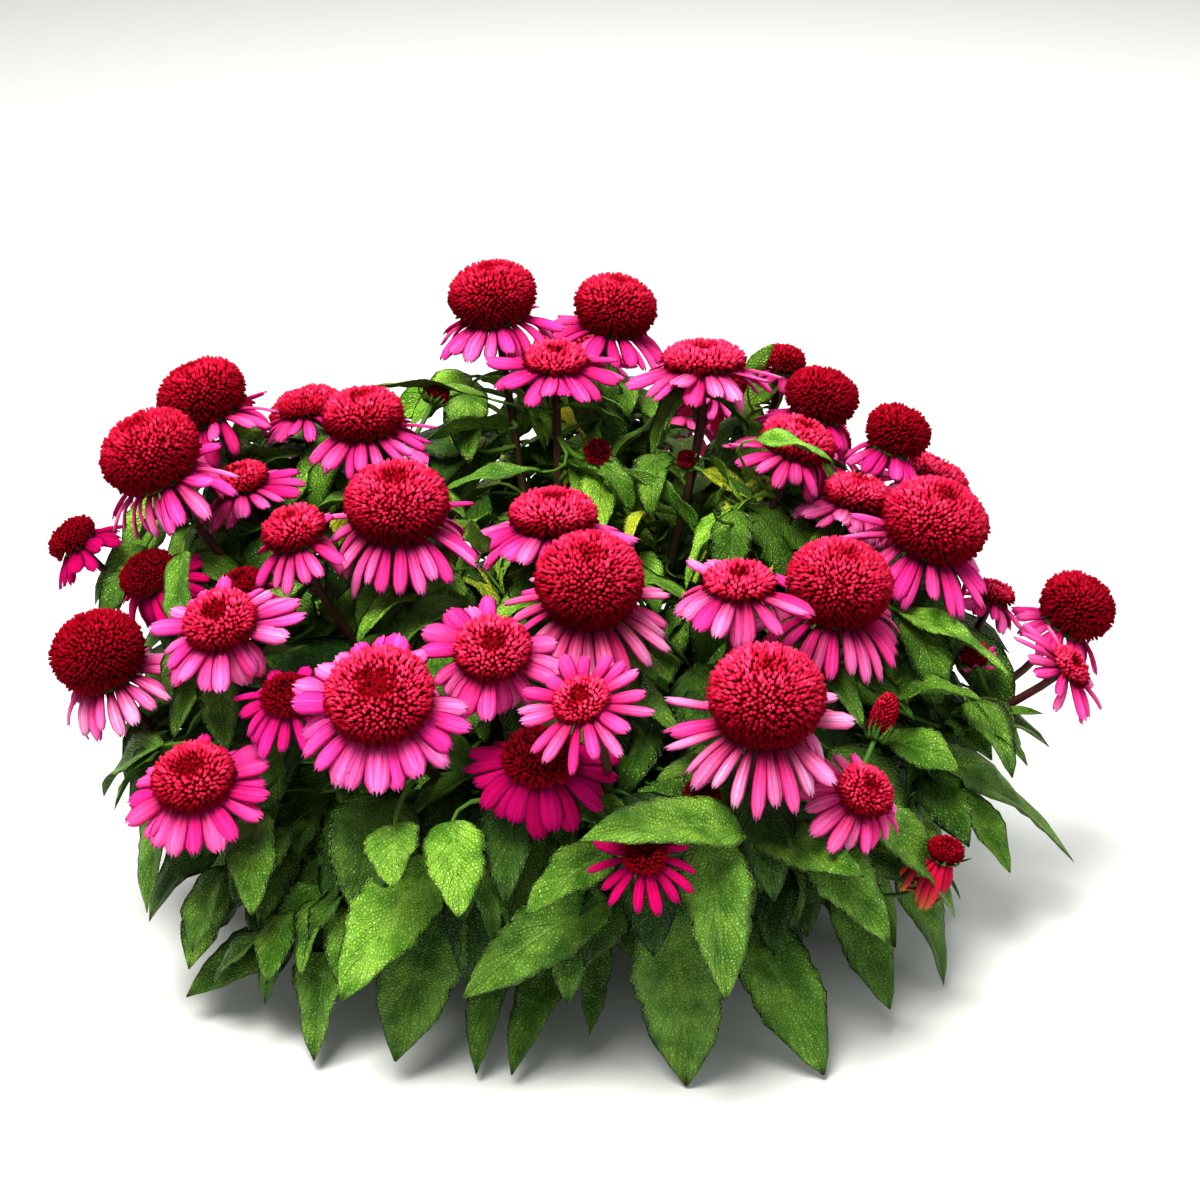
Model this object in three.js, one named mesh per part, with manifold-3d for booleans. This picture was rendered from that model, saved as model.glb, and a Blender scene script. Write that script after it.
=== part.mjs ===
// A clump of double-flowered purple coneflower, cut at soil level: a woody crown, the leafy stems
// that rise from it, and a bloom on every stem, each a dense cone of florets over a ring of rays.
// Millimetres, +Z up. The origin is the middle of the crown's flat cut underside.
import * as THREE from "three";
import { mergeVertices } from "three/addons/utils/BufferGeometryUtils.js";
import Module from "manifold-3d";

const wasm = await Module();
wasm.setup();

// ---- driving dimensions ----
const GAP = 0.3; // clearance between pieces that touch
const CROWN = { radius: 44, height: 13, bevel: 4, sides: 14 };
const SHEATH = { radius: 38, height: 15, shoulder: 5, taper: 8, sides: 9 };
// A stem is rooted in the sheath at this share of its head's distance from the middle.
const STEM = { rootShare: 0.105, sunk: 4, rootRadius: 3, neckRadius: 2, sides: 3, steps: 3 };
const STEM_RISE = { out: 0.22, up: 0.3 }; // how a stem sets off, as shares of its neck's place
const STEM_STRAIGHT = 0.34; // the share of its reach over which a stem follows its head's axis
const RECEPTACLE = { share: 0.62, thickness: 3, lip: 1.2 };
const RAY = { width: 12, thickness: 1.2, levelShare: 0.35, droopSpread: 10, bendsFrom: 26.5 };
const CROWDED_RAY = { margin: 5.5, bendsBy: 7, most: 72, shortens: 0.93 };
const FLORET = { raise: 1.7, sink: 0.9 };
const CONE = { skirtAngle: 50, ballHeight: 1.4, dimple: 0.22 };
const LEAF = { keel: 1.4, fold: 16, wave: 1.6, stalkWidth: 3, stalkBend: 0.4, sideShare: 0.6 };
const LEAF_ROOM = { bloom: 7, others: 11, floor: 1.5, reach: 212 };
const LEAF_FOOT = { buried: 6, height: 7 }; // where a leafstalk from the crown starts in the sheath
const STALK_FROM_CROWN = 130; // a blade that starts below this height has its stalk from the crown
const BUD = { sides: 5, below: 12, upright: 0.35, stalkRadius: 1.5, stalkSteps: 2 };
const MOST_TRIES = 9;

// ---- the blooms ----
// Middle of the cone x, y, z; cone radius and height; ray length, and its droop from level;
// how far the head leans and the bearing it leans to. Angles are in degrees.
const BLOOMS = {
  bloom_01: [-45, 110, 295, 24, 31, 26, 34, 8, 180],
  bloom_02: [22, 128, 282, 23, 30, 26, 36, 12, 10],
  bloom_03: [-10, 62, 276, 17, 11, 26, 16, 6, -90],
  bloom_04: [67, 58, 278, 22, 13, 30, 26, 6, 90],
  bloom_05: [113, 112, 256, 12, 15, 16, 32, 15, 45],
  bloom_06: [132, 80, 248, 20, 27, 22, 48, 18, 30],
  bloom_07: [172, 66, 233, 18, 25, 20, 60, 24, 20],
  bloom_08: [116, 22, 246, 20, 18, 27, 32, 18, 10],
  bloom_09: [146, 8, 222, 18, 16, 26, 30, 14, 30],
  bloom_10: [180, -44, 230, 27, 32, 29, 34, 18, -30],
  bloom_11: [128, -95, 219, 26, 35, 29, 42, 12, -50],
  bloom_12: [78, -124, 233, 17, 10, 27, 18, 5, -90],
  bloom_13: [88, -190, 207, 27, 37, 32, 38, 14, -80],
  bloom_14: [8, -118, 231, 26, 35, 30, 44, 20, -90],
  bloom_15: [-10, -42, 233, 22, 18, 30, 30, 4, 90],
  bloom_16: [-36, -166, 218, 18, 14, 27, 14, 28, -90],
  bloom_17: [4, -226, 222, 13, 7, 26, 10, 30, -125],
  bloom_18: [-14, -190, 176, 18, 14, 26, 36, 15, -90],
  bloom_19: [-86, -196, 210, 25, 21, 28, 24, 32, -98],
  bloom_20: [-86, -58, 246, 26, 30, 31, 34, 10, -90],
  bloom_21: [-136, -70, 236, 16, 16, 24, 36, 15, 200],
  bloom_22: [-108, 18, 262, 21, 22, 26, 38, 5, 180],
  bloom_23: [-166, -127, 214, 18, 15, 28, 16, 26, -115],
  bloom_24: [-132, -152, 187, 13, 9, 24, 30, 22, -90],
  bloom_25: [-177, -166, 152, 20, 16, 25, 22, 24, -110],
  bloom_26: [-236, -72, 171, 24, 34, 24, 62, 20, 200],
  bloom_27: [-213, -16, 255, 26, 34, 28, 34, 24, 190],
  bloom_28: [-196, 52, 260, 24, 31, 26, 36, 24, 165],
  bloom_29: [-172, 9, 229, 15, 12, 24, 26, 18, 180],
  bloom_30: [-144, 66, 246, 13, 10, 22, 26, 12, 120],
  bloom_31: [-262, 12, 195, 14, 13, 20, 48, 38, 180],
  bloom_32: [-214, -44, 200, 15, 15, 22, 44, 30, 200],
  bloom_33: [-164, -60, 200, 13, 12, 18, 40, 15, 210],
  bloom_34: [258, -22, 172, 20, 29, 20, 50, 30, 0],
  bloom_35: [246, -80, 166, 12, 7, 25, 14, 44, -20],
  bloom_36: [214, -24, 180, 11, 10, 16, 40, 20, 20],
  bloom_37: [135, -192, 158, 14, 12, 24, 40, 36, -45],
  bloom_38: [33, -240, 152, 10, 6, 22, 30, 34, -90],
  bloom_39: [-152, 150, 211, 22, 28, 26, 42, 26, 135],
  bloom_40: [-122, 205, 180, 22, 29, 26, 45, 30, 108],
  bloom_41: [-3, 200, 236, 22, 18, 27, 28, 24, 85],
  bloom_42: [78, 160, 230, 22, 28, 26, 44, 26, 60],
  bloom_43: [198, 105, 192, 21, 17, 27, 28, 30, 26],
  bloom_44: [-223, 112, 196, 20, 15, 26, 24, 30, 150],
  bloom_45: [141, 200, 182, 20, 16, 26, 30, 34, 52],
  bloom_46: [66, 238, 186, 22, 29, 26, 46, 32, 82],
  bloom_47: [-106, 245, 118, 20, 16, 26, 26, 34, 114],
};
// The largest heads have a node for the rays and one for the cone.
const TWO_NODES = [10, 11, 13, 14, 15, 19, 20, 27].map((n) => `bloom_${n}`);

// ---- unopened and faded heads on side branches, fused to the stems: x, y, z, radius, length ----
const BUDS = [
  [198, -72, 168, 7, 12],
  [149, -122, 158, 8, 17],
  [178, -138, 96, 8, 16],
  [60, -196, 158, 9, 13],
  [12, 8, 243, 7, 11],
  [-72, 54, 258, 7, 11],
  [57, 18, 235, 5, 9],
];

// ---- the leaves that stand out: blade base x, y, z; tip x, y, z; width; lift of the face ----
// The lift is the angle above level that the blade's upper face looks, away from the plant.
const OUTER_LEAVES = [
  [-196, -112, 118, -204, -160, 72, 24, 25],
  [-132, -118, 38, -190, -150, 18, 24, 45],
  [-116, -148, 62, -124, -190, 8, 28, 35],
  [-56, -160, 92, -84, -202, 16, 42, 30],
  [-62, -178, 112, -106, -220, 62, 38, 35],
  [-34, -150, 60, -46, -198, 6, 22, 30],
  [-4, -150, 52, -29, -202, 8, 23, 30],
  [18, -186, 96, -50, -224, 66, 32, 40],
  [13, -150, 62, 8, -186, 20, 16, 35],
  [43, -178, 100, 54, -202, 2, 45, 18],
  [60, -200, 146, 70, -240, 76, 33, 28],
  [78, -150, 66, 120, -196, 4, 37, 35],
  [78, -206, 143, 4, -250, 164, 28, 55],
  [18, -205, 132, -20, -236, 118, 24, 50],
  [-54, -202, 147, -50, -240, 119, 29, 40],
  [-80, -204, 146, -79, -236, 132, 26, 40],
  [-150, -146, 122, -150, -188, 88, 25, 35],
  [100, -176, 130, 146, -212, 88, 30, 50],
  [124, -130, 72, 154, -164, 20, 26, 40],
  [162, -90, 62, 186, -118, 4, 28, 40],
  [176, -52, 102, 258, -62, 42, 30, 40],
  [190, -62, 92, 220, -92, 54, 20, 40],
  [140, -146, 122, 186, -142, 58, 26, 40],
  [-42, -180, 110, -34, -210, 84, 13, 35],
  [-192, -58, 216, -190, -96, 188, 20, 35],
  [160, -62, 186, 212, -100, 168, 22, 60],
  [-44, 58, 252, -116, 44, 262, 16, 70],
  [-44, -80, 226, -48, -96, 250, 13, 20],
  [70, -22, 222, 72, -50, 246, 13, 30],
  [-16, 6, 232, -66, -8, 228, 17, 70],
  [158, -88, 152, 196, -116, 164, 25, 60],
  [182, -70, 122, 232, -84, 140, 25, 60],
  [150, -102, 136, 186, -124, 130, 25, 55],
  [84, -168, 118, 132, -220, 128, 26, 50],
  [-50, 92, 250, -12, 62, 240, 22, 50],
  [-12, 84, 244, 26, 48, 250, 20, 55],
  [-36, 74, 229, -80, 42, 234, 24, 50],
  [14, 82, 230, 0, 36, 204, 24, 40],
  [62, 14, 196, 24, 26, 226, 22, 40],
  [70, 50, 222, 96, 14, 196, 20, 40],
  [44, 92, 226, 14, 50, 212, 24, 40],
];

// ---- leaves placed by rule: a ring from the crown behind and at the sides, and up each stem ----
const BASAL_RING = { count: 17, from: -28, to: 208, span: 73, width: 36, tipRadius: 196, seed: 77 };
const STEM_LEAVES = {
  tiers: [
    { height: 0.5, length: 90, leastCone: 18 },
    { height: 0.36, length: 104, leastCone: 22 },
    { height: 0.66, length: 68, leastCone: 20.5 },
  ],
  slimness: 0.36,
  lift: 60,
  arch: 0.2,
  seed: 20,
};

const rad = THREE.MathUtils.degToRad;
const deg = THREE.MathUtils.radToDeg;
const UP = new THREE.Vector3(0, 0, 1);

/** Repeatable draws from 0 to 1. */
function draws(seed) {
  let state = seed * 7919 + 17;
  return () => {
    state = (state * 16807) % 2147483647;
    return state / 2147483647;
  };
}

/** The level direction of a bearing in degrees, turned up by a second angle. */
function heading(bearing, rise = 0) {
  const b = rad(bearing);
  const r = rad(rise);
  return new THREE.Vector3(Math.cos(b) * Math.cos(r), Math.sin(b) * Math.cos(r), Math.sin(r));
}

// ---- closed solids from rings of points ----
function solidFrom(points, faces) {
  const vertProperties = new Float32Array(points.flatMap((p) => [p.x, p.y, p.z]));
  const triVerts = new Uint32Array(faces.flat());
  return new wasm.Manifold(new wasm.Mesh({ numProp: 3, vertProperties, triVerts }));
}

/** A closed solid through rings of equal count, each turning anticlockwise seen from its far side;
 *  the last ring may be a single point. The second half of each ring has its quads split the other
 *  way, so that both faces of a twisted blade are split alike and don't cross. */
function loft(rings) {
  const points = rings.flat();
  const count = rings[0].length;
  const faces = [];
  for (let k = 2; k < count; k++) faces.push([0, k, k - 1]);
  for (let i = 0; i + 1 < rings.length; i++) {
    const low = i * count;
    const high = low + count;
    for (let k = 0; k < count; k++) {
      const next = (k + 1) % count;
      const [a, b, c, d] = [low + k, low + next, high + next, high + k];
      if (rings[i + 1].length === 1) faces.push([a, b, high]);
      else if (2 * k < count) faces.push([a, b, c], [a, c, d]);
      else faces.push([a, b, d], [b, c, d]);
    }
  }
  const last = points.length - count;
  if (rings.at(-1).length > 1) {
    for (let k = 2; k < count; k++) faces.push([last, last + k - 1, last + k]);
  }
  return solidFrom(points, faces);
}

/** A ring of points round a centre, square to an axis, that starts on the side a direction points to. */
function ring(centre, axis, radius, sides, start) {
  const across = start.clone().addScaledVector(axis, -start.dot(axis)).normalize();
  const other = new THREE.Vector3().crossVectors(axis, across);
  return Array.from({ length: sides }, (_, k) => {
    const turn = (2 * Math.PI * k) / sides;
    return centre
      .clone()
      .addScaledVector(across, radius * Math.cos(turn))
      .addScaledVector(other, radius * Math.sin(turn));
  });
}

function meshOf(name, solid, material) {
  const { vertProperties, triVerts } = solid.getMesh();
  const geometry = new THREE.BufferGeometry();
  geometry.setAttribute("position", new THREE.BufferAttribute(new Float32Array(vertProperties), 3));
  geometry.setIndex(new THREE.BufferAttribute(new Uint32Array(triVerts), 1));
  geometry.computeVertexNormals();
  const mesh = new THREE.Mesh(geometry, material);
  mesh.name = name;
  return mesh;
}

// ---- heads: each bloom's frame, and the room that it takes ----
const heads = Object.entries(BLOOMS).map(([name, row], index) => {
  const [x, y, z, coneRadius, coneHeight, ray, droop, lean, bearing] = row;
  const rays = coneRadius > 22 ? 12 : coneRadius > 15 || ray > 25 ? 10 : 8;
  const axis = heading(bearing, 90 - lean);
  const base = new THREE.Vector3(x, y, z).addScaledVector(axis, -coneHeight / 2 - RECEPTACLE.thickness);
  const heart = base.clone().addScaledVector(axis, 0.3 * coneHeight);
  return { name, index, base, axis, heart, coneRadius, coneHeight, ray, rays, droop };
});

/** True where a point is in the room that a bloom's cone and rays take, or within a margin of it. */
function insideBloom(point, margin) {
  return heads.some(({ base, axis, coneRadius, coneHeight, ray, droop }) => {
    const along = point.clone().sub(base);
    const rise = along.dot(axis);
    const out = along.addScaledVector(axis, -rise).length();
    const reach = RECEPTACLE.share * coneRadius + ray * Math.cos(rad(droop)) + margin;
    const drop = ray * Math.sin(rad(droop)) * (out / reach) + margin + RECEPTACLE.thickness;
    return out < reach && rise < coneHeight + margin && rise > -drop;
  });
}

/** How far a point is on this bloom's side of the planes that part it from the other blooms. */
function roomAt(point, head) {
  const power = (h) => point.distanceToSquared(h.heart) - (h.coneRadius + 0.4 * h.ray) ** 2;
  const rivals = heads.filter((h) => h !== head);
  return Math.min(...rivals.map((h) => (power(h) - power(head)) / (2 * h.heart.distanceTo(head.heart))));
}

/** A point on a bloom: a bearing round its axis, distance out from it, and height along it. */
function onHead({ base, axis }, turn, out, rise) {
  const spin = new THREE.Quaternion().setFromUnitVectors(UP, axis);
  return new THREE.Vector3(out * Math.cos(turn), out * Math.sin(turn), rise).applyQuaternion(spin).add(base);
}

/** Where a ray's midline runs, and its slope: it sets off nearly level and bends down to its droop. */
function rayPoint(head, share, length, droop) {
  const angle = rad(droop * (RAY.levelShare + (1 - RAY.levelShare) * share));
  const slope = rad(droop * (RAY.levelShare + 2 * (1 - RAY.levelShare) * share));
  const out = RECEPTACLE.share * head.coneRadius + length * share * Math.cos(angle);
  return { out, rise: RECEPTACLE.lip + RAY.thickness - length * share * Math.sin(angle), slope };
}

/** A ray's length and droop, bent down and then shortened until its tip is clear of its neighbours. */
function rayThatClears(head, turn, draw) {
  let length = head.ray * (0.95 + 0.2 * draw());
  let droop = head.droop + RAY.droopSpread * (2 * draw() - 1);
  for (let tries = 0; tries < MOST_TRIES; tries++) {
    const tip = rayPoint(head, 1, length, droop);
    if (roomAt(onHead(head, turn, tip.out, tip.rise), head) > CROWDED_RAY.margin) break;
    droop = Math.min(droop + CROWDED_RAY.bendsBy, CROWDED_RAY.most);
    length *= CROWDED_RAY.shortens;
  }
  return { length, droop };
}

// ---- a bloom's skin, in points given by bearing, distance out and height ----
class Skin {
  constructor(head) {
    this.head = head;
    this.points = [];
    this.faces = [];
  }

  put(turn, out, rise) {
    return this.points.push(onHead(this.head, turn, out, rise)) - 1;
  }

  solid() {
    return solidFrom(this.points, this.faces);
  }
}

// ---- rays: they leave a round receptacle, folded along the middle, and end in a blunt edge ----
const RAY_MIDDLE = { share: 0.58, width: 1 };
const RAY_TIP = { share: 1, width: 0.72 };
function addRays(skin) {
  const { head } = skin;
  const draw = draws(head.index + 1);
  const rim = RECEPTACLE.share * head.coneRadius;
  const step = (2 * Math.PI) / head.rays;
  const underside = skin.put(0, 0, 0);
  const gaps = Array.from({ length: head.rays }, (_, k) => skin.put(k * step, rim, RECEPTACLE.lip));
  const crests = gaps.map((_, k) => skin.put((k + 0.5) * step, rim, RECEPTACLE.lip + RAY.thickness));
  crests.forEach((crest, k) => {
    const turn = (k + 0.5) * step;
    const { length, droop } = rayThatClears(head, turn, draw);
    const edges = ({ share, width }) => {
      const crestLine = rayPoint(head, share, length, droop);
      const out = crestLine.out - RAY.thickness * Math.sin(crestLine.slope);
      const rise = crestLine.rise - RAY.thickness * Math.cos(crestLine.slope);
      const half = Math.min((RAY.width * width) / 2, 0.92 * out * Math.tan(step / 2));
      const side = Math.atan2(half, out);
      return [turn - side, turn + side].map((bearing) => skin.put(bearing, Math.hypot(out, half), rise));
    };
    let [low, high, fold] = [gaps[k], gaps[(k + 1) % head.rays], crest];
    skin.faces.push([underside, high, low]);
    if (head.ray > RAY.bendsFrom) {
      const [a, b] = edges(RAY_MIDDLE);
      const middle = rayPoint(head, RAY_MIDDLE.share, length, droop);
      const c = skin.put(turn, middle.out, middle.rise);
      skin.faces.push([low, a, c], [low, c, fold], [fold, c, b], [fold, b, high]);
      skin.faces.push([low, b, a], [low, high, b]);
      [low, high, fold] = [a, b, c];
    }
    const [a, b] = edges(RAY_TIP);
    skin.faces.push([low, a, fold], [fold, a, b], [fold, b, high], [low, high, b], [low, b, a]);
  });
  return { gaps, crests };
}

// ---- cone: a dome whose florets are raised from it in a checkered net ----
function addCone(skin, floor) {
  const { coneRadius, coneHeight, rays } = skin.head;
  const rows = coneHeight > 20 ? 5 : coneHeight > 11 ? 4 : 3;
  const squat = Math.min(1, coneHeight / (CONE.ballHeight * coneRadius));
  const lowest = -rad(CONE.skirtAngle * squat);
  const climb = coneHeight / (1 + Math.sin(-lowest));
  const at = Array.from({ length: rows }, (_, i) => {
    const angle = lowest + ((Math.PI / 2 - lowest) * i) / rows;
    return Array.from({ length: rays }, (__, k) => {
      const raise = i === 0 ? 0 : (i + k) % 2 ? FLORET.raise : -FLORET.sink;
      const out = (coneRadius - FLORET.raise + raise) * Math.cos(angle);
      const rise = floor + climb * (Math.sin(angle) - Math.sin(lowest)) + raise * Math.sin(angle);
      return skin.put((2 * Math.PI * k) / rays, out, rise);
    });
  });
  const dimple = (1 - squat) * CONE.dimple * coneRadius;
  const top = skin.put(0, 0, floor + coneHeight - dimple);
  for (let k = 0; k < rays; k++) {
    const next = (k + 1) % rays;
    for (let i = 0; i + 1 < rows; i++) {
      const [a, b, c, d] = [at[i][k], at[i][next], at[i + 1][next], at[i + 1][k]];
      if ((i + k) % 2) skin.faces.push([a, b, d], [b, c, d]);
      else skin.faces.push([a, b, c], [a, c, d]);
    }
    skin.faces.push([at[rows - 1][k], at[rows - 1][next], top]);
  }
  return at[0];
}

function raysSolid(head) {
  const skin = new Skin(head);
  const { gaps, crests } = addRays(skin);
  const middle = skin.put(0, 0, RECEPTACLE.thickness);
  crests.forEach((crest, k) => {
    skin.faces.push([middle, gaps[k], crest], [middle, crest, gaps[(k + 1) % head.rays]]);
  });
  return skin.solid();
}

function coneSolid(head) {
  const skin = new Skin(head);
  const floor = RECEPTACLE.thickness + GAP;
  const foot = addCone(skin, floor);
  const middle = skin.put(0, 0, floor);
  foot.forEach((point, k) => skin.faces.push([middle, foot[(k + 1) % head.rays], point]));
  return skin.solid();
}

/** Rays and cone in one skin: the cone's foot is joined to the receptacle's rim. */
function wholeSolid(head) {
  const skin = new Skin(head);
  const { gaps, crests } = addRays(skin);
  const foot = addCone(skin, RECEPTACLE.thickness);
  crests.forEach((crest, k) => {
    const next = (k + 1) % head.rays;
    skin.faces.push([foot[k], gaps[k], crest], [foot[k], crest, foot[next]]);
    skin.faces.push([foot[next], crest, gaps[next]]);
  });
  return skin.solid();
}

// ---- stems: one to each bloom, from the sheath at the crown up to just under the receptacle ----
const stems = heads.map((head) => {
  const root = head.base.clone().multiplyScalar(STEM.rootShare);
  root.setZ(CROWN.height + SHEATH.height - STEM.sunk);
  const neck = head.base.clone().addScaledVector(head.axis, -GAP);
  const rise = new THREE.Vector3(STEM_RISE.out * neck.x, STEM_RISE.out * neck.y, STEM_RISE.up * neck.z);
  rise.add(root);
  const hang = neck.clone().addScaledVector(head.axis, -STEM_STRAIGHT * neck.distanceTo(root));
  return new THREE.CubicBezierCurve3(root, rise, hang, neck);
});

function tube(curve, from, to, steps) {
  const sideways = new THREE.Vector3().crossVectors(UP, curve.getPoint(1).sub(curve.getPoint(0)));
  const rings = [];
  for (let i = 0; i <= steps; i++) {
    const share = i / steps;
    const radius = from + (to - from) * share;
    rings.push(ring(curve.getPoint(share), curve.getTangent(share), radius, STEM.sides, sideways));
  }
  return loft(rings);
}

/** A point on the middle of a stem's tube, which runs straight from ring to ring. */
function onStem(curve, share) {
  const step = Math.min(Math.floor(share * STEM.steps), STEM.steps - 1);
  const from = curve.getPoint(step / STEM.steps);
  return from.lerp(curve.getPoint((step + 1) / STEM.steps), share * STEM.steps - step);
}

/** The point on any stem, from a quarter of the way up, that is nearest to a place and not above it. */
function nearestOnStem(place) {
  const steps = 20;
  const shares = Array.from({ length: 14 }, (_, i) => (i + 5) / steps);
  const points = stems.flatMap((curve) => shares.map((share) => onStem(curve, share)));
  const below = points.filter((point) => point.z < place.z + 2);
  return below.sort((a, b) => a.distanceTo(place) - b.distanceTo(place))[0];
}

// ---- leaves ----
/** A leaf's stalk from its foot to the blade's base, and the blade's arched midrib on to its tip. */
function midrib(foot, base, tip, arch) {
  const chord = tip.clone().sub(base);
  const lift = UP.clone().addScaledVector(chord, -chord.z / chord.lengthSq()).normalize();
  const crest = base.clone().lerp(tip, 0.5).addScaledVector(lift, arch * chord.length());
  const blade = new THREE.QuadraticBezierCurve3(base, crest, tip);
  const away = crest.clone().sub(base).normalize();
  const bend = base.clone().addScaledVector(away, -LEAF.stalkBend * base.distanceTo(foot));
  return { stalk: new THREE.QuadraticBezierCurve3(foot, bend, base), blade };
}

/** One ring of a leaf: right edge, keel, left edge, and the rib between the raised halves. */
function leafRing(curve, share, half, sideways, wave, along = curve.getTangent(share)) {
  const point = curve.getPoint(share);
  const across = sideways.clone().addScaledVector(along, -sideways.dot(along)).normalize();
  const face = new THREE.Vector3().crossVectors(across, along);
  const edge = (sign) =>
    point
      .clone()
      .addScaledVector(across, sign * half * Math.cos(rad(LEAF.fold)))
      .addScaledVector(face, half * Math.sin(rad(LEAF.fold)) + sign * wave);
  return [edge(1), point.clone().addScaledVector(face, -LEAF.keel), edge(-1), point];
}

/** The line from edge to edge of a blade whose upper face looks outward, and up by an angle. */
function acrossBlade(blade, lift) {
  const tip = blade.getPoint(1);
  const outward = Math.atan2(tip.y, LEAF.sideShare * tip.x);
  const lookout = heading(deg(outward), lift);
  return new THREE.Vector3().crossVectors(tip.sub(blade.getPoint(0)), lookout).normalize();
}

/** A leaf from its foot to its tip, widest a third of the way up the blade, its edges waved in turn.
 *  The ring where stalk and blade meet halves the bend between them, so neither is pinched. */
function leafSolid({ stalk, blade }, width, lift) {
  const sideways = acrossBlade(blade, lift);
  const slim = LEAF.stalkWidth / 2;
  const stalkWay = stalk.getPoint(1).sub(stalk.getPoint(0)).normalize();
  const halfway = stalkWay.clone().add(blade.getTangent(0)).normalize();
  const untwisted = new THREE.Quaternion().setFromUnitVectors(halfway, stalkWay);
  return loft([
    leafRing(stalk, 0, slim, sideways.clone().applyQuaternion(untwisted), 0, stalkWay),
    leafRing(blade, 0, Math.max(slim, 0.08 * width), sideways, 0, halfway),
    leafRing(blade, 0.3, 0.5 * width, sideways, LEAF.wave),
    leafRing(blade, 0.7, 0.36 * width, sideways, -LEAF.wave),
    [blade.getPoint(1)],
  ]);
}

/** Points over a blade, for judging what it would run into. */
function bladePoints(blade, width, lift) {
  const sideways = acrossBlade(blade, lift);
  return [0.3, 0.55, 0.8, 1].flatMap((share) => {
    const [right, , left, middle] = leafRing(blade, share, (width / 2) * (1.2 - share), sideways, 0);
    return [left, right, middle];
  });
}

const leaves = [];
// Places along the stems and the leaves set so far, which the next leaf keeps off.
const stemMarks = 24;
const taken = stems.flatMap((curve) => {
  return Array.from({ length: stemMarks }, (_, i) => onStem(curve, (i + 1) / stemMarks));
});
function settle(foot, base, tip, width, lift, arch) {
  const rib = midrib(foot, base, tip, arch);
  leaves.push(leafSolid(rib, width, lift));
  taken.push(...[0.3, 0.6, 0.9].map((share) => rib.blade.getPoint(share)));
}

/** Where a stalk that makes for a blade's base leaves the sheath. */
function sheathFoot(toward) {
  const bearing = deg(Math.atan2(toward.y, toward.x));
  return heading(bearing)
    .multiplyScalar(SHEATH.radius - LEAF_FOOT.buried)
    .setZ(CROWN.height + LEAF_FOOT.height);
}

for (const [bx, by, bz, tx, ty, tz, width, lift] of OUTER_LEAVES) {
  const base = new THREE.Vector3(bx, by, bz);
  const foot = bz < STALK_FROM_CROWN ? sheathFoot(base) : nearestOnStem(base);
  settle(foot, base, new THREE.Vector3(tx, ty, tz), width, lift, 0.12);
}

const ringDraw = draws(BASAL_RING.seed);
/** A draw between two values. */
const between = (draw, low, high) => low + (high - low) * draw();
for (let k = 0; k < BASAL_RING.count; k++) {
  const bearing = BASAL_RING.from + ((BASAL_RING.to - BASAL_RING.from) * k) / (BASAL_RING.count - 1);
  const tip = heading(bearing + between(ringDraw, -4, 4));
  tip.multiplyScalar(BASAL_RING.tipRadius * between(ringDraw, 0.92, 1.08)).setZ(between(ringDraw, 2, 16));
  const base = heading(bearing).multiplyScalar(tip.length() - BASAL_RING.span);
  base.setZ(between(ringDraw, 76, 94));
  settle(sheathFoot(base), base, tip, BASAL_RING.width * between(ringDraw, 0.85, 1.15), 35, 0.16);
}

/** A leaf on a stem, turned and lowered until it is clear of the blooms, the floor and other leaves. */
function growStemLeaf(foot, longest, side, draw) {
  const length = longest * between(draw, 0.85, 1.15);
  const width = STEM_LEAVES.slimness * length;
  let bearing = deg(Math.atan2(foot.y, foot.x)) + side * between(draw, 25, 75);
  let drop = between(draw, -4, 22);
  for (let tries = 0; tries < MOST_TRIES; tries++) {
    const base = foot.clone().addScaledVector(heading(bearing, 20), 0.1 * length);
    const tip = foot.clone().addScaledVector(heading(bearing, -drop), length);
    const points = bladePoints(midrib(foot, base, tip, STEM_LEAVES.arch).blade, width, STEM_LEAVES.lift);
    const outside = (p) => p.z < LEAF_ROOM.floor || Math.hypot(p.x, p.y) > LEAF_ROOM.reach;
    const blocked = points.some((p) => outside(p) || insideBloom(p, LEAF_ROOM.bloom));
    const crowded = points.some((p) => taken.some((t) => t.distanceTo(p) < LEAF_ROOM.others));
    if (!blocked && !crowded) {
      settle(foot, base, tip, width, STEM_LEAVES.lift, STEM_LEAVES.arch);
      return;
    }
    bearing += side * 23;
    drop += 5;
  }
}
const leafDraw = draws(STEM_LEAVES.seed);
STEM_LEAVES.tiers.forEach(({ height, length, leastCone }, tier) => {
  stems.forEach((curve, index) => {
    if (heads[index].coneRadius < leastCone) return;
    const side = (index + tier) % 2 ? 1 : -1;
    growStemLeaf(onStem(curve, between(leafDraw, height, height + 0.08)), length, side, leafDraw);
  });
});

// ---- buds: a small knob on a side branch from the nearest stem ----
function budSolids([x, y, z, radius, length]) {
  const middle = new THREE.Vector3(x, y, z);
  const foot = nearestOnStem(middle.clone().setZ(z - BUD.below));
  const axis = middle.clone().sub(foot).normalize().lerp(UP, BUD.upright).normalize();
  const base = middle.clone().addScaledVector(axis, -length / 2);
  const bend = base.clone().addScaledVector(axis, -LEAF.stalkBend * base.distanceTo(foot));
  const branch = new THREE.CubicBezierCurve3(foot, foot.clone().lerp(bend, 0.5), bend, base);
  const profile = [
    [0.45, -1],
    [1, 0.35 * length],
    [0.8, 0.75 * length],
  ];
  const rings = profile.map(([share, rise]) => {
    return ring(base.clone().addScaledVector(axis, rise), axis, share * radius, BUD.sides, heading(0));
  });
  rings.push([base.clone().addScaledVector(axis, length)]);
  return [tube(branch, BUD.stalkRadius, BUD.stalkRadius, BUD.stalkSteps), loft(rings)];
}

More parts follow.
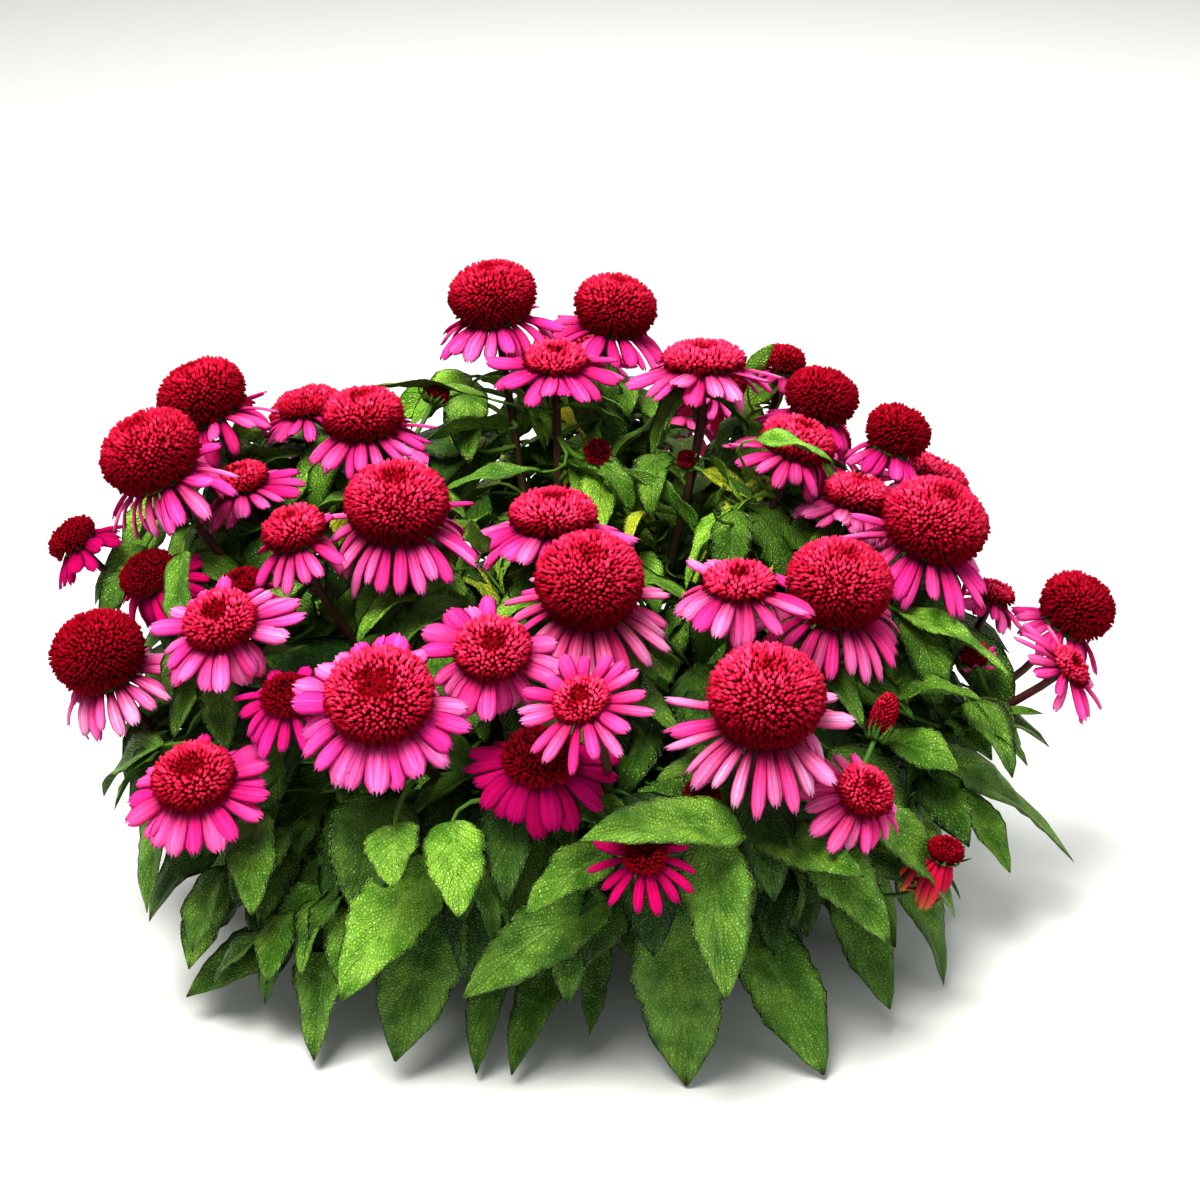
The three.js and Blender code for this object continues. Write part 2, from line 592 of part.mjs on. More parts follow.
// ---- crown, and the sheath of old leaf bases that binds the stems above it ----
function turned(profile, sides) {
  const points = profile.map(([out, rise]) => new THREE.Vector2(out, rise));
  const lathe = new THREE.LatheGeometry(points, sides).rotateX(Math.PI / 2);
  lathe.deleteAttribute("normal");
  lathe.deleteAttribute("uv");
  const { attributes, index } = mergeVertices(lathe, 1e-3);
  const corners = Array.from({ length: attributes.position.count }, (_, i) => {
    return new THREE.Vector3().fromBufferAttribute(attributes.position, i);
  });
  const faces = Array.from({ length: index.count / 3 }, (_, i) => {
    return [index.getX(3 * i), index.getX(3 * i + 1), index.getX(3 * i + 2)];
  });
  return solidFrom(corners, faces.filter((face) => new Set(face).size === 3));
}

const crown = turned(
  [
    [0, 0],
    [CROWN.radius - CROWN.bevel, 0],
    [CROWN.radius, CROWN.bevel],
    [CROWN.radius - CROWN.bevel / 2, CROWN.height],
    [0, CROWN.height],
  ],
  CROWN.sides,
);
const sheathFloor = CROWN.height + GAP;
const sheathTop = CROWN.height + SHEATH.height;
const sheath = turned(
  [
    [0, sheathFloor],
    [SHEATH.radius - SHEATH.shoulder / 2, sheathFloor],
    [SHEATH.radius, sheathFloor + SHEATH.shoulder],
    [SHEATH.radius - SHEATH.taper, sheathTop - SHEATH.shoulder / 2],
    [0, sheathTop],
  ],
  SHEATH.sides,
);

// ---- materials ----
const finish = (color, roughness) => new THREE.MeshStandardMaterial({ color, roughness, metalness: 0 });
const leafGreen = finish(0x2f6a26, 0.6);
const crownBrown = finish(0x5a4630, 0.9);
const rayPink = finish(0xe0458c, 0.55);
const coneCrimson = finish(0xa30f3a, 0.7);

// ---- the plant ----
const plant = new THREE.Group();
plant.add(meshOf("crown", crown, crownBrown));

const stalks = stems.map((curve) => tube(curve, STEM.rootRadius, STEM.neckRadius, STEM.steps));
const joined = wasm.Manifold.union([sheath, ...stalks, ...leaves, ...BUDS.flatMap(budSolids)]);
plant.add(meshOf("foliage", joined, leafGreen));

for (const head of heads) {
  if (TWO_NODES.includes(head.name)) {
    plant.add(meshOf(`${head.name}_rays`, raysSolid(head), rayPink));
    plant.add(meshOf(`${head.name}_cone`, coneSolid(head), coneCrimson));
  } else {
    const colour = head.coneHeight > head.coneRadius ? coneCrimson : rayPink;
    plant.add(meshOf(head.name, wholeSolid(head), colour));
  }
}

export default plant;
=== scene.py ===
import math

import bpy
from mathutils import Matrix, Vector


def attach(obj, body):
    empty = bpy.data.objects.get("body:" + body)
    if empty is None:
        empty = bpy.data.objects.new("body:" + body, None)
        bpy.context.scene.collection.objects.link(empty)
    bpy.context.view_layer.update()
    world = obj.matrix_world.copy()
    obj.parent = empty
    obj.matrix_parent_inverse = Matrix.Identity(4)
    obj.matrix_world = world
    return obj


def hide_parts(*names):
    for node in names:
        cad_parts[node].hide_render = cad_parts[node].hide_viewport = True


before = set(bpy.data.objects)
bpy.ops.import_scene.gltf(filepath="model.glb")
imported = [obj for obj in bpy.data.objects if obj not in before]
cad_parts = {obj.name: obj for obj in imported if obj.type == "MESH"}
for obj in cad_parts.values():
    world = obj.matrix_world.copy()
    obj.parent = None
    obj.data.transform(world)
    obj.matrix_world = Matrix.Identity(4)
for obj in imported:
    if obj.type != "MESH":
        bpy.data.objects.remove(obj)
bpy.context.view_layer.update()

# ---- Flowering stems ----
# Every bloom stands on a tough round stem of its own, purple-brown and ribbed. All the stems rise
# from the crown, lean outwards, and turn into the line of their bloom over the last third.
MM = 0.001
UP = Vector((0, 0, 1))
# How close to the middle a stem stands at its foot, as a share of its bloom's distance, and how high.
STEM_GATHER, STEM_FOOT = 0.105, 24
# A stem's radius at its foot and under its bloom.
STEM_GIRTH = (3.2, 2.1)
# How far a cone starts above its receptacle's middle, and the receptacle's share of the cone's radius.
CONE_FOOT, RIM_SHARE = 3, 0.62
# Middle of the cone x, y, z; cone radius and height; ray length and droop; lean, and the bearing it
# leans to; then how bright the florets are, how pale the rays, and how cool their pink, from 0 to 1.
# Brightness and paleness are the bloom's own colour with painted light, and go below 0 for a dark
# bloom in the shade, as painted shade. Millimetres and degrees.
BLOOMS = [
    (-45, 110, 295, 24, 31, 26, 34, 8, 180, 0.3, 0.45, 0.85),
    (22, 128, 282, 23, 30, 26, 36, 12, 10, 0.3, 0.4, 0.5),
    (-10, 62, 276, 17, 11, 26, 16, 6, -90, 0.75, 0.5, 0.5),
    (67, 58, 278, 22, 13, 30, 26, 6, 90, 0.75, 0.55, 0.3),
    (113, 112, 256, 12, 15, 16, 32, 15, 45, 0.15, 0.35, 0.5),
    (132, 80, 248, 20, 27, 22, 48, 18, 30, 0.12, 0.3, 0.5),
    (172, 66, 233, 18, 25, 20, 60, 24, 20, 0.08, 0.3, 0.5),
    (116, 22, 246, 20, 18, 27, 32, 18, 10, 0.6, 0.5, 0.35),
    (146, 8, 222, 18, 16, 26, 30, 14, 30, 0.6, 0.6, 0.35),
    (180, -44, 230, 27, 32, 29, 34, 18, -30, 0.5, 0.5, 0.6),
    (128, -95, 219, 26, 35, 29, 42, 12, -50, 0.5, 0.5, 0.25),
    (78, -124, 233, 17, 10, 27, 18, 5, -90, 0.8, 0.6, 0.35),
    (88, -190, 207, 27, 37, 32, 38, 14, -80, 0.55, 0.9, 0.35),
    (8, -118, 231, 26, 35, 30, 44, 20, -90, 0.45, 0.75, 0.2),
    (-10, -42, 233, 22, 18, 30, 30, 4, 90, 0.65, 0.5, 0.6),
    (-36, -166, 218, 18, 14, 27, 14, 28, -90, 0.7, 0.5, 0.5),
    (4, -226, 222, 13, 7, 26, 10, 30, -125, 0.75, 0.55, 0.35),
    (-14, -190, 176, 18, 14, 26, 36, 15, -90, -0.3, -0.35, 0.6),
    (-86, -196, 210, 25, 21, 28, 24, 32, -98, 0.6, 0.5, 0.9),
    (-86, -58, 246, 26, 30, 31, 34, 10, -90, 0.5, 0.55, 0.7),
    (-136, -70, 236, 16, 16, 24, 36, 15, 200, 0.55, 0.45, 0.5),
    (-108, 18, 262, 21, 22, 26, 38, 5, 180, 0.45, 0.45, 0.5),
    (-166, -127, 214, 18, 15, 28, 16, 26, -115, 0.6, 0.6, 0.8),
    (-132, -152, 187, 13, 9, 24, 30, 22, -90, -0.1, 0.1, 0.7),
    (-177, -166, 152, 20, 16, 25, 22, 24, -110, 0.45, 0.4, 0.5),
    (-236, -72, 171, 24, 34, 24, 62, 20, 200, 0.1, 1, 0.9),
    (-213, -16, 255, 26, 34, 28, 34, 24, 190, 0.3, 0.55, 0.75),
    (-196, 52, 260, 24, 31, 26, 36, 24, 165, 0.2, 0.4, 0.3),
    (-172, 9, 229, 15, 12, 24, 26, 18, 180, 0.4, 0.35, 0.5),
    (-144, 66, 246, 13, 10, 22, 26, 12, 120, 0.2, 0.35, 0.5),
    (-262, 12, 195, 14, 13, 20, 48, 38, 180, -0.1, -0.25, 0.2),
    (-214, -44, 200, 15, 15, 22, 44, 30, 200, -0.25, 0.0, 0.1),
    (-164, -60, 200, 13, 12, 18, 40, 15, 210, -0.1, 0.1, 0.4),
    (258, -22, 172, 20, 29, 20, 50, 30, 0, 0.12, 0.4, 0.5),
    (246, -80, 166, 12, 7, 25, 14, 44, -20, 0.7, 0.55, 0.3),
    (214, -24, 180, 11, 10, 16, 40, 20, 20, 0.5, 0.4, 0.5),
    (135, -192, 158, 14, 12, 24, 40, 36, -45, 0.6, 0.5, 0.4),
    (33, -240, 152, 10, 6, 22, 30, 34, -90, 0.0, -0.1, 0.1),
    (-152, 150, 211, 22, 28, 26, 42, 26, 135, 0.45, 0.45, 0.5),
    (-122, 205, 180, 22, 29, 26, 45, 30, 108, 0.4, 0.5, 0.5),
    (-3, 200, 236, 22, 18, 27, 28, 24, 85, 0.6, 0.5, 0.5),
    (78, 160, 230, 22, 28, 26, 44, 26, 60, 0.45, 0.45, 0.5),
    (198, 105, 192, 21, 17, 27, 28, 30, 26, 0.6, 0.5, 0.5),
    (-223, 112, 196, 20, 15, 26, 24, 30, 150, 0.6, 0.5, 0.5),
    (141, 200, 182, 20, 16, 26, 30, 34, 52, 0.55, 0.5, 0.5),
    (66, 238, 186, 22, 29, 26, 46, 32, 82, 0.4, 0.5, 0.5),
    (-106, 245, 118, 20, 16, 26, 26, 34, 114, 0.6, 0.45, 0.5),
]


def polar(out, turn, rise=0.0):
    """A point from its distance out, its turn in radians and its height."""
    return Vector((out * math.cos(turn), out * math.sin(turn), rise))


def heading(bearing, rise=0.0):
    """The level direction of a bearing in degrees, turned up by a second angle."""
    climb = math.radians(rise)
    return polar(math.cos(climb), math.radians(bearing), math.sin(climb))


class Head:
    """One bloom's place: its receptacle's middle, its axis, and the sizes round it."""

    def __init__(self, number, row):
        x, y, z, self.radius, self.height, self.ray, self.droop, lean, bearing = row[:9]
        self.bright, self.pale, self.cool = row[9:]
        self.number = number
        self.axis = heading(bearing, 90 - lean)
        self.lean = heading(bearing)
        self.base = Vector((x, y, z)) - self.axis * (self.height / 2 + CONE_FOOT)
        self.heart = self.base + self.axis * 0.3 * self.height
        self.rim = RIM_SHARE * self.radius
        turn = UP.rotation_difference(self.axis).to_matrix().to_4x4()
        self.place = Matrix.Translation(self.base) @ turn


def along_bezier(points, share):
    """A point on the Bezier curve through these control points."""
    while len(points) > 1:
        points = [a.lerp(b, share) for a, b in zip(points, points[1:])]
    return points[0]


def stem_line(head):
    """A stem's Bezier points, from the crown to the receptacle."""
    root = (head.base * STEM_GATHER).to_2d().to_3d()
    root.z = STEM_FOOT
    neck = head.base - head.axis * 0.3
    rise = root + Vector((0.22 * neck.x, 0.22 * neck.y, 0.3 * neck.z))
    hang = neck - head.axis * 0.34 * (neck - root).length
    return [root, rise, hang, neck]


class Flow:
    """What comes out of a node. Sums and products of it are Math or Vector Math nodes."""

    def __init__(self, tree, socket):
        self.tree = tree
        self.socket = socket

    def math(self, operation, *others):
        vector = self.socket.type == "VECTOR"
        kind = "ShaderNodeVectorMath" if vector else "ShaderNodeMath"
        return add(self.tree, kind, self, *others, operation=operation)

    def __add__(self, other):
        return self.math("ADD", other)

    def __sub__(self, other):
        return self.math("SUBTRACT", other)

    def __mul__(self, other):
        return self.math("SCALE" if self.socket.type == "VECTOR" else "MULTIPLY", other)

    def __rsub__(self, other):
        return add(self.tree, "ShaderNodeMath", other, self, operation="SUBTRACT")

    def __pow__(self, other):
        return self.math("POWER", other)

    def __abs__(self):
        return self.math("ABSOLUTE")

    __rmul__ = __mul__

    def ramp(self, *ends):
        """What lies between the first two numbers, stretched between the last two, or 0 and 1."""
        return add(self.tree, "ShaderNodeMapRange", self, *ends)

    def blend(self, low, high):
        """A colour between two colours."""
        return add(self.tree, "ShaderNodeMix", self, low, high, data_type="RGBA")


def add(tree, kind, *values, output=0, **settings):
    """Adds a node, fills its sockets in order with links or constants, and gives back an output."""
    node = tree.nodes.new(kind)
    for label, value in settings.items():
        setattr(node, label, value)
    for socket, value in zip([s for s in node.inputs if s.enabled], values):
        if isinstance(value, Flow):
            tree.links.new(value.socket, socket)
        elif value is not None:
            socket.default_value = value
    return Flow(tree, [s for s in node.outputs if s.enabled][output])


def node_group(name, kind, **inputs):
    """A node group with these named inputs, and a dict of what each one puts in."""
    tree = bpy.data.node_groups.new(name, kind)
    for label, socket in inputs.items():
        tree.interface.new_socket(label, in_out="INPUT", socket_type="NodeSocket" + socket)
    node = tree.nodes.new("NodeGroupInput")
    return tree, {s.name: Flow(tree, s) for s in node.outputs if s.name}


def put_out(tree, label, kind, value):
    """Ends a node group with its one named output."""
    tree.interface.new_socket(label, in_out="OUTPUT", socket_type="NodeSocket" + kind)
    out = tree.nodes.new("NodeGroupOutput")
    tree.links.new(value.socket, out.inputs[0])


def recipe(name, **inputs):
    """A Geometry Nodes tree with these named inputs, and a dict of what each one puts in."""
    return node_group(name, "GeometryNodeTree", Geometry="Geometry", **inputs)


def close_recipe(tree, geometry, finish):
    """Ends a tree: smooth faces, no instances left, and its material."""
    smooth = add(tree, "GeometryNodeSetShadeSmooth", geometry)
    real = add(tree, "GeometryNodeRealizeInstances", smooth)
    put_out(tree, "Geometry", "Geometry", add(tree, "GeometryNodeSetMaterial", real, None, finish))


def field(tree, name, kind="FLOAT"):
    """A named attribute of the geometry that the tree is working on."""
    return add(tree, "GeometryNodeInputNamedAttribute", name, data_type=kind)


def seedbed(name, places, edges=(), faces=(), **columns):
    """A mesh that a tree grows pieces from, with a named attribute for each column of values."""
    mesh = bpy.data.meshes.new(name)
    mesh.from_pydata(places, edges, faces)
    for label, values in columns.items():
        vector = hasattr(values[0], "__len__")
        kind = "FLOAT_VECTOR" if vector else "FLOAT"
        data = mesh.attributes.new(label, kind, "POINT").data
        if vector:
            data.foreach_set("vector", [c for value in values for c in value])
        else:
            data.foreach_set("value", values)
    return mesh


def stand(name, data):
    """A new object with this data, linked into the scene."""
    made = bpy.data.objects.new(name, data)
    bpy.context.scene.collection.objects.link(made)
    return made


def grow(name, tree, bed, place=None, **sizes):
    """Runs a tree on its seedbed, in millimetres, and keeps the result as a plain mesh in metres."""
    carrier = stand("carrier", bed)
    modifier = carrier.modifiers.new(tree.name, "NODES")
    modifier.node_group = tree
    sockets = {s.name: s.identifier for s in tree.interface.items_tree if s.in_out == "INPUT"}
    for label, value in sizes.items():
        modifier[sockets[label]] = value
    graph = bpy.context.evaluated_depsgraph_get()
    grown = carrier.evaluated_get(graph)
    mesh = bpy.data.meshes.new_from_object(grown, preserve_all_data_layers=True, depsgraph=graph)
    carrier.modifiers.remove(modifier)
    bpy.data.objects.remove(carrier)
    mesh.transform(Matrix.Scale(MM, 4) @ (place or Matrix.Identity(4)))
    mesh.name = name
    return stand(name, mesh)


def settle(piece, node):
    """Ties a finished piece to the plant, and hides the solid that it stands for."""
    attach(piece, "root")
    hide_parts(node)


def material(name, roughness, specular=0.5, glow=0.0):
    """A new material, its tree and its Principled shader, with the constants set on the shader.
    Glow is the share of light that soaks into the tissue and comes out again nearby."""
    made = bpy.data.materials.new(name)
    made.use_nodes = True
    shader = made.node_tree.nodes["Principled BSDF"]
    shader.inputs["Roughness"].default_value = roughness
    shader.inputs["Specular IOR Level"].default_value = specular
    if glow:
        shader.inputs["Subsurface Weight"].default_value = glow
        shader.inputs["Subsurface Radius"].default_value = (1, 0.35, 0.6)
        shader.inputs["Subsurface Scale"].default_value = 0.002
    return made, made.node_tree, shader


def attribute(tree, name):
    """A named attribute of the mesh, read as a number by a material."""
    return add(tree, "ShaderNodeAttribute", attribute_name=name, output=2)


def noise(tree, where, scale, detail=3.0):
    return add(tree, "ShaderNodeTexNoise", where, scale, detail)


def paint(tree, shader, colour):
    tree.links.new(colour.socket, shader.inputs["Base Color"])


def bump(tree, shader, height, strength, distance):
    raised = add(tree, "ShaderNodeBump", strength, distance, None, height)
    tree.links.new(raised.socket, shader.inputs["Normal"])


heads = [Head(number, row) for number, row in enumerate(BLOOMS, 1)]
stem_lines = [stem_line(head) for head in heads]

tube_tree, given = recipe("tube along a line", Sides="Int", Finish="Material")
line = add(tube_tree, "GeometryNodeMeshToCurve", given["Geometry"])
section = add(tube_tree, "GeometryNodeCurvePrimitiveCircle", given["Sides"], 1.0)
tube = add(tube_tree, "GeometryNodeCurveToMesh", line, section, field(tube_tree, "girth"), True)
close_recipe(tube_tree, tube, given["Finish"])

grain, given = node_group(
    "upright grain", "ShaderNodeTree", Fineness="Float", Detail="Float", Stretch="Vector")
object_space = add(grain, "ShaderNodeTexCoord", output=3)
stretched = add(grain, "ShaderNodeMapping", object_space, None, None, given["Stretch"])
put_out(grain, "Grain", "Float", noise(grain, stretched, given["Fineness"], given["Detail"]))

stem_skin, tree, shader = material("stem skin", 0.45, specular=0.25)
streaks = add(tree, "ShaderNodeGroup", 900, 3.0, (1, 1, 0.08), node_tree=grain)
purpling = attribute(tree, "along").blend((0.07, 0.14, 0.012, 1), (0.075, 0.008, 0.016, 1))
colour = (streaks * 0.7).blend(purpling, (0.02, 0.003, 0.005, 1))
paint(tree, shader, colour)
bump(tree, shader, streaks, 0.5, 0.0006)


def strand(lines, girths, steps, tints):
    """A seedbed of lines: each a list of Bezier points, with its girth at the foot and at the end."""
    places, edges, girth, along, tint = [], [], [], [], []
    for line, (thick, thin), shade in zip(lines, girths, tints):
        for i in range(steps + 1):
            share = i / steps
            if i:
                edges.append((len(places) - 1, len(places)))
            places.append(along_bezier(line, share))
            girth.append(thick + (thin - thick) * share)
            along.append(share)
            tint.append(shade)
    return seedbed("lines", places, edges, girth=girth, along=along, tint=tint)


stem_bed = strand(stem_lines, [STEM_GIRTH] * len(heads), 18, [0.5] * len(heads))
stems = grow("flower_stems", tube_tree, stem_bed, Sides=8, Finish=stem_skin)
settle(stems, "foliage")

# ---- Rootstock ----
# A knotted woody crown, cut flat at soil level. Its narrower top is the sheath of old leaf bases round
# the foot of the stems.
bark, tree, shader = material("rootstock bark", 0.85)
furrows = add(tree, "ShaderNodeGroup", 160, 6.0, (1, 1, 0.3), node_tree=grain)
colour = furrows.blend((0.045, 0.022, 0.012, 1), (0.24, 0.14, 0.07, 1))
paint(tree, shader, colour)
bump(tree, shader, furrows, 0.8, 0.002)


def draws(seed):
    """Repeatable draws from 0 to 1."""
    state = seed * 7919 + 17
    while True:
        state = state * 16807 % 2147483647
        yield state / 2147483647


def between(draw, low, high):
    return low + (high - low) * next(draw)


def bands(first, rows, sides):
    """The faces that join rings of vertices, one above another, from the first vertex on."""
    faces = []
    for low in range(first, first + (rows - 1) * sides, sides):
        for k in range(sides):
            following = (k + 1) % sides
            faces.append((low + k, low + following, low + sides + following, low + sides + k))
    return faces


def knobbly(profile, sides, knobs, seed):
    """A turned solid whose skin swells and sinks between its flat ends."""
    draw = draws(seed)
    places = [(0, 0, profile[0][1])]
    for out, rise in profile:
        for k in range(sides):
            far = out + between(draw, -knobs, knobs)
            turn = 2 * math.pi * k / sides
            places.append(polar(far, turn, rise))
    places.append((0, 0, profile[-1][1]))
    faces = bands(1, len(profile), sides)
    top = 1 + (len(profile) - 1) * sides
    for k in range(sides):
        following = (k + 1) % sides
        faces.append((0, 1 + following, 1 + k))
        faces.append((top + k, top + following, len(places) - 1))
    mesh = bpy.data.meshes.new("knobbly")
    mesh.from_pydata(places, [], faces)
    mesh.shade_smooth()
    return mesh


def plain_piece(name, mesh, finish):
    mesh.transform(Matrix.Scale(MM, 4))
    mesh.materials.append(finish)
    return stand(name, mesh)


rootstock_profile = [(38, 0), (41, 1.5), (42, 4), (41.5, 7), (41, 10), (37, 13), (33, 19), (27, 25)]
rootstock = plain_piece("rootstock", knobbly(rootstock_profile, 40, 1.4, 5), bark)
settle(rootstock, "crown")

# ---- Leaves ----
# Ovate leaves, dark green and rough, with a sunk midrib and side veins that bow towards the tip. The
# large ones rise from the crown on long stalks, and smaller ones sit along the stems.
# Blade base x, y, z; tip x, y, z; width; how far its face looks up; how bright it is, from 0 to 1, its own
# green with painted light and shade.
OUTER_LEAVES = [
    (-196, -112, 118, -204, -160, 72, 24, 25, 0.4),
    (-132, -118, 38, -190, -150, 18, 24, 45, 0.4),
    (-116, -148, 62, -124, -190, 8, 28, 35, 0.35),
    (-56, -160, 92, -84, -202, 16, 42, 30, 0.3),
    (-62, -178, 112, -106, -220, 62, 38, 35, 0.8),
    (-34, -150, 60, -46, -198, 6, 22, 30, 0.25),
    (-4, -150, 52, -29, -202, 8, 23, 30, 0.25),
    (18, -186, 96, -50, -224, 66, 32, 40, 0.4),
    (13, -150, 62, 8, -186, 20, 16, 35, 0.2),
    (43, -178, 100, 54, -202, 2, 45, 18, 0.35),
    (60, -200, 146, 70, -240, 76, 33, 28, 0.45),
    (78, -150, 66, 120, -196, 4, 37, 35, 0.4),
    (78, -206, 143, 4, -250, 164, 28, 55, 0.6),
    (18, -205, 132, -20, -236, 118, 24, 50, 0.5),
    (-54, -202, 147, -50, -240, 119, 29, 40, 0.75),
    (-80, -204, 146, -79, -236, 132, 26, 40, 0.6),
    (-150, -146, 122, -150, -188, 88, 25, 35, 0.35),
    (100, -176, 130, 146, -212, 88, 30, 50, 0.4),
    (124, -130, 72, 154, -164, 20, 26, 40, 0.3),
    (162, -90, 62, 186, -118, 4, 28, 40, 0.3),
    (176, -52, 102, 258, -62, 42, 30, 40, 0.6),
    (190, -62, 92, 220, -92, 54, 20, 40, 0.5),
    (140, -146, 122, 186, -142, 58, 26, 40, 0.45),
    (-42, -180, 110, -34, -210, 84, 13, 35, 0.3),
    (-192, -58, 216, -190, -96, 188, 20, 35, 0.55),
    (160, -62, 186, 212, -100, 168, 22, 60, 0.75),
    (-44, 58, 252, -116, 44, 262, 16, 70, 0.6),
    (-44, -80, 226, -48, -96, 250, 13, 20, 0.7),
    (70, -22, 222, 72, -50, 246, 13, 30, 0.6),
    (-16, 6, 232, -66, -8, 228, 17, 70, 0.6),
    (158, -88, 152, 196, -116, 164, 25, 60, 0.5),
    (182, -70, 122, 232, -84, 140, 25, 60, 0.55),
    (150, -102, 136, 186, -124, 130, 25, 55, 0.5),
    (84, -168, 118, 132, -220, 128, 26, 50, 0.4),
    (-50, 92, 250, -12, 62, 240, 22, 50, 0.8),
    (-12, 84, 244, 26, 48, 250, 20, 55, 0.8),
    (-36, 74, 229, -80, 42, 234, 24, 50, 0.7),
    (14, 82, 230, 0, 36, 204, 24, 40, 0.7),
    (62, 14, 196, 24, 26, 226, 22, 40, 0.7),
    (70, 50, 222, 96, 14, 196, 20, 40, 0.8),
    (44, 92, 226, 14, 50, 212, 24, 40, 0.8),
]
# Leaves along the stems, tier by tier: how far up, how long, and the least cone that has one.
STEM_TIERS = [(0.5, 90, 18), (0.36, 104, 22), (0.66, 68, 20.5)]
# No bloom reaches this far from its receptacle. Blades that start below the next height come from the
# crown. The last is the longest stalk along a stem.
WIDEST_BLOOM, CROWN_LEAF, LONGEST_STALK = 95, 130, 24
# The sheath of old leaf bases above the crown: its rim's radius and height.
SHEATH_RIM, SHEATH_TOP = 32, 20


class Spray:
    """The leaves gathered so far, as columns for a seedbed, with the lines of their stalks."""

    def __init__(self):
        keys = ("base", "crest", "tip", "sideways", "width", "phase", "bright")
        self.columns = {key: [] for key in keys}
        self.stalks, self.girths = [], []

    def lay(self, foot, rib, sideways, width, phase, bright):
        for column, value in zip(self.columns.values(), (*rib, sideways, width, phase, bright)):
            column.append(value)
        base, crest, _ = rib
        bend = base - (crest - base).normalized() * 0.4 * (base - foot).length
        self.stalks.append([foot, bend, base, along_bezier(rib, 0.06)])
        self.girths.append((1.7, 0.7) if width > 20 else (1.2, 0.5))

    def bed(self):
        return seedbed("leaves", self.columns["base"], **self.columns)


def arched(base, tip, arch):
    """A blade's midrib: base, raised crest and tip."""
    chord = tip - base
    lift = (UP - chord * (chord.z / chord.length_squared)).normalized()
    return [base, (base + tip) / 2 + lift * arch * chord.length, tip]


def across_blade(rib, lift):
    """The line from edge to edge of a blade that looks outward, and up by an angle."""
    base, _, tip = rib
    outward = math.degrees(math.atan2(tip.y, 0.6 * tip.x))
    return (tip - base).cross(heading(outward, lift)).normalized()


def on_stem(line, share):
    """A point on a stem drawn straight between its third points."""
    step = min(int(share * 3), 2)
    return along_bezier(line, step / 3).lerp(along_bezier(line, (step + 1) / 3), share * 3 - step)


def inside_bloom(point, margin):
    """Whether a point lies in a cone, or among the rays that hang round it."""
    for head in heads:
        away = point - head.base
        if away.length > WIDEST_BLOOM:
            continue
        rise = away.dot(head.axis)
        out = (away - head.axis * rise).length
        droop = math.radians(head.droop)
        reach = head.rim + head.ray * math.cos(droop) + margin
        drop = head.ray * math.sin(droop) * out / reach + margin + 3
        if out < reach and -drop < rise < head.height + margin:
            return True
    return False


# No leaf hangs in front of the upper parts of these tall stems, so that they show bare.
CLEAR_STEMS = (1, 3, 4)
openings = [on_stem(stem_lines[number - 1], i / 20) for number in CLEAR_STEMS for i in range(12, 20)]


def before_stem(point):
    """Whether a point lies in front of a bare stem."""
    front = heading(-90, 25)
    for place in openings:
        away = point - place
        ahead = away.dot(front)
        if -6 < ahead < 100 and (away - front * ahead).length < 8:
            return True
    return False


def nearest_on_stem(place):
    """The stem point nearest to a place and not above it, from a quarter of the way up."""
    found = None
    for line in stem_lines:
        for i in range(5, 19):
            point = on_stem(line, i / 20)
            far = (point - place).length
            if point.z < place.z + 2 and (found is None or far < found[0]):
                found = (far, along_bezier(line, i / 20))
    return found[1]


def sheath_foot(toward):
    """A point on the rim of the leaf sheath, on the side of a place."""
    return toward.to_2d().normalized().to_3d() * SHEATH_RIM + UP * SHEATH_TOP


def foot_of(base):
    """Where the stalk of a blade starts: on the sheath if the blade is low, or on a stem."""
    return sheath_foot(base) if base.z < CROWN_LEAF else nearest_on_stem(base)


taken = [on_stem(line, i / 24) for line in stem_lines for i in range(1, 25)]


def place_leaf(spray, foot, base, tip, width, lift, arch, phase, bright):
    """Sets a leaf from its base to its tip, and marks the room that it takes."""
    rib = arched(base, tip, arch)
    spray.lay(foot, rib, across_blade(rib, lift), width, phase, bright)
    taken.extend(along_bezier(rib, share) for share in (0.3, 0.6, 0.9))


outer, ring, upper = Spray(), Spray(), Spray()
look = draws(31)
for bx, by, bz, tx, ty, tz, width, lift, bright in OUTER_LEAVES:
    base = Vector((bx, by, bz))
    foot = foot_of(base)
    place_leaf(outer, foot, base, Vector((tx, ty, tz)), width, lift, 0.12, 6 * next(look), 0.8 * bright)

# Large leaves from the crown hang in a ring round the sides and the back.
RING_LEAVES, RING_START, RING_ARC, RING_REACH = 17, -28, 236, 196
draw = draws(77)
for k in range(RING_LEAVES):
    bearing = RING_START + RING_ARC * k / (RING_LEAVES - 1)
    tip = heading(bearing + between(draw, -4, 4)) * RING_REACH * between(draw, 0.92, 1.08)
    tip.z = between(draw, 2, 16)
    base = heading(bearing) * (tip.length - 73)
    base.z = between(draw, 76, 94)
    width = 36 * between(draw, 0.85, 1.15)
    place_leaf(ring, sheath_foot(base), base, tip, width, 35, 0.16, 6 * next(look), 0.2 + 0.5 * next(look))


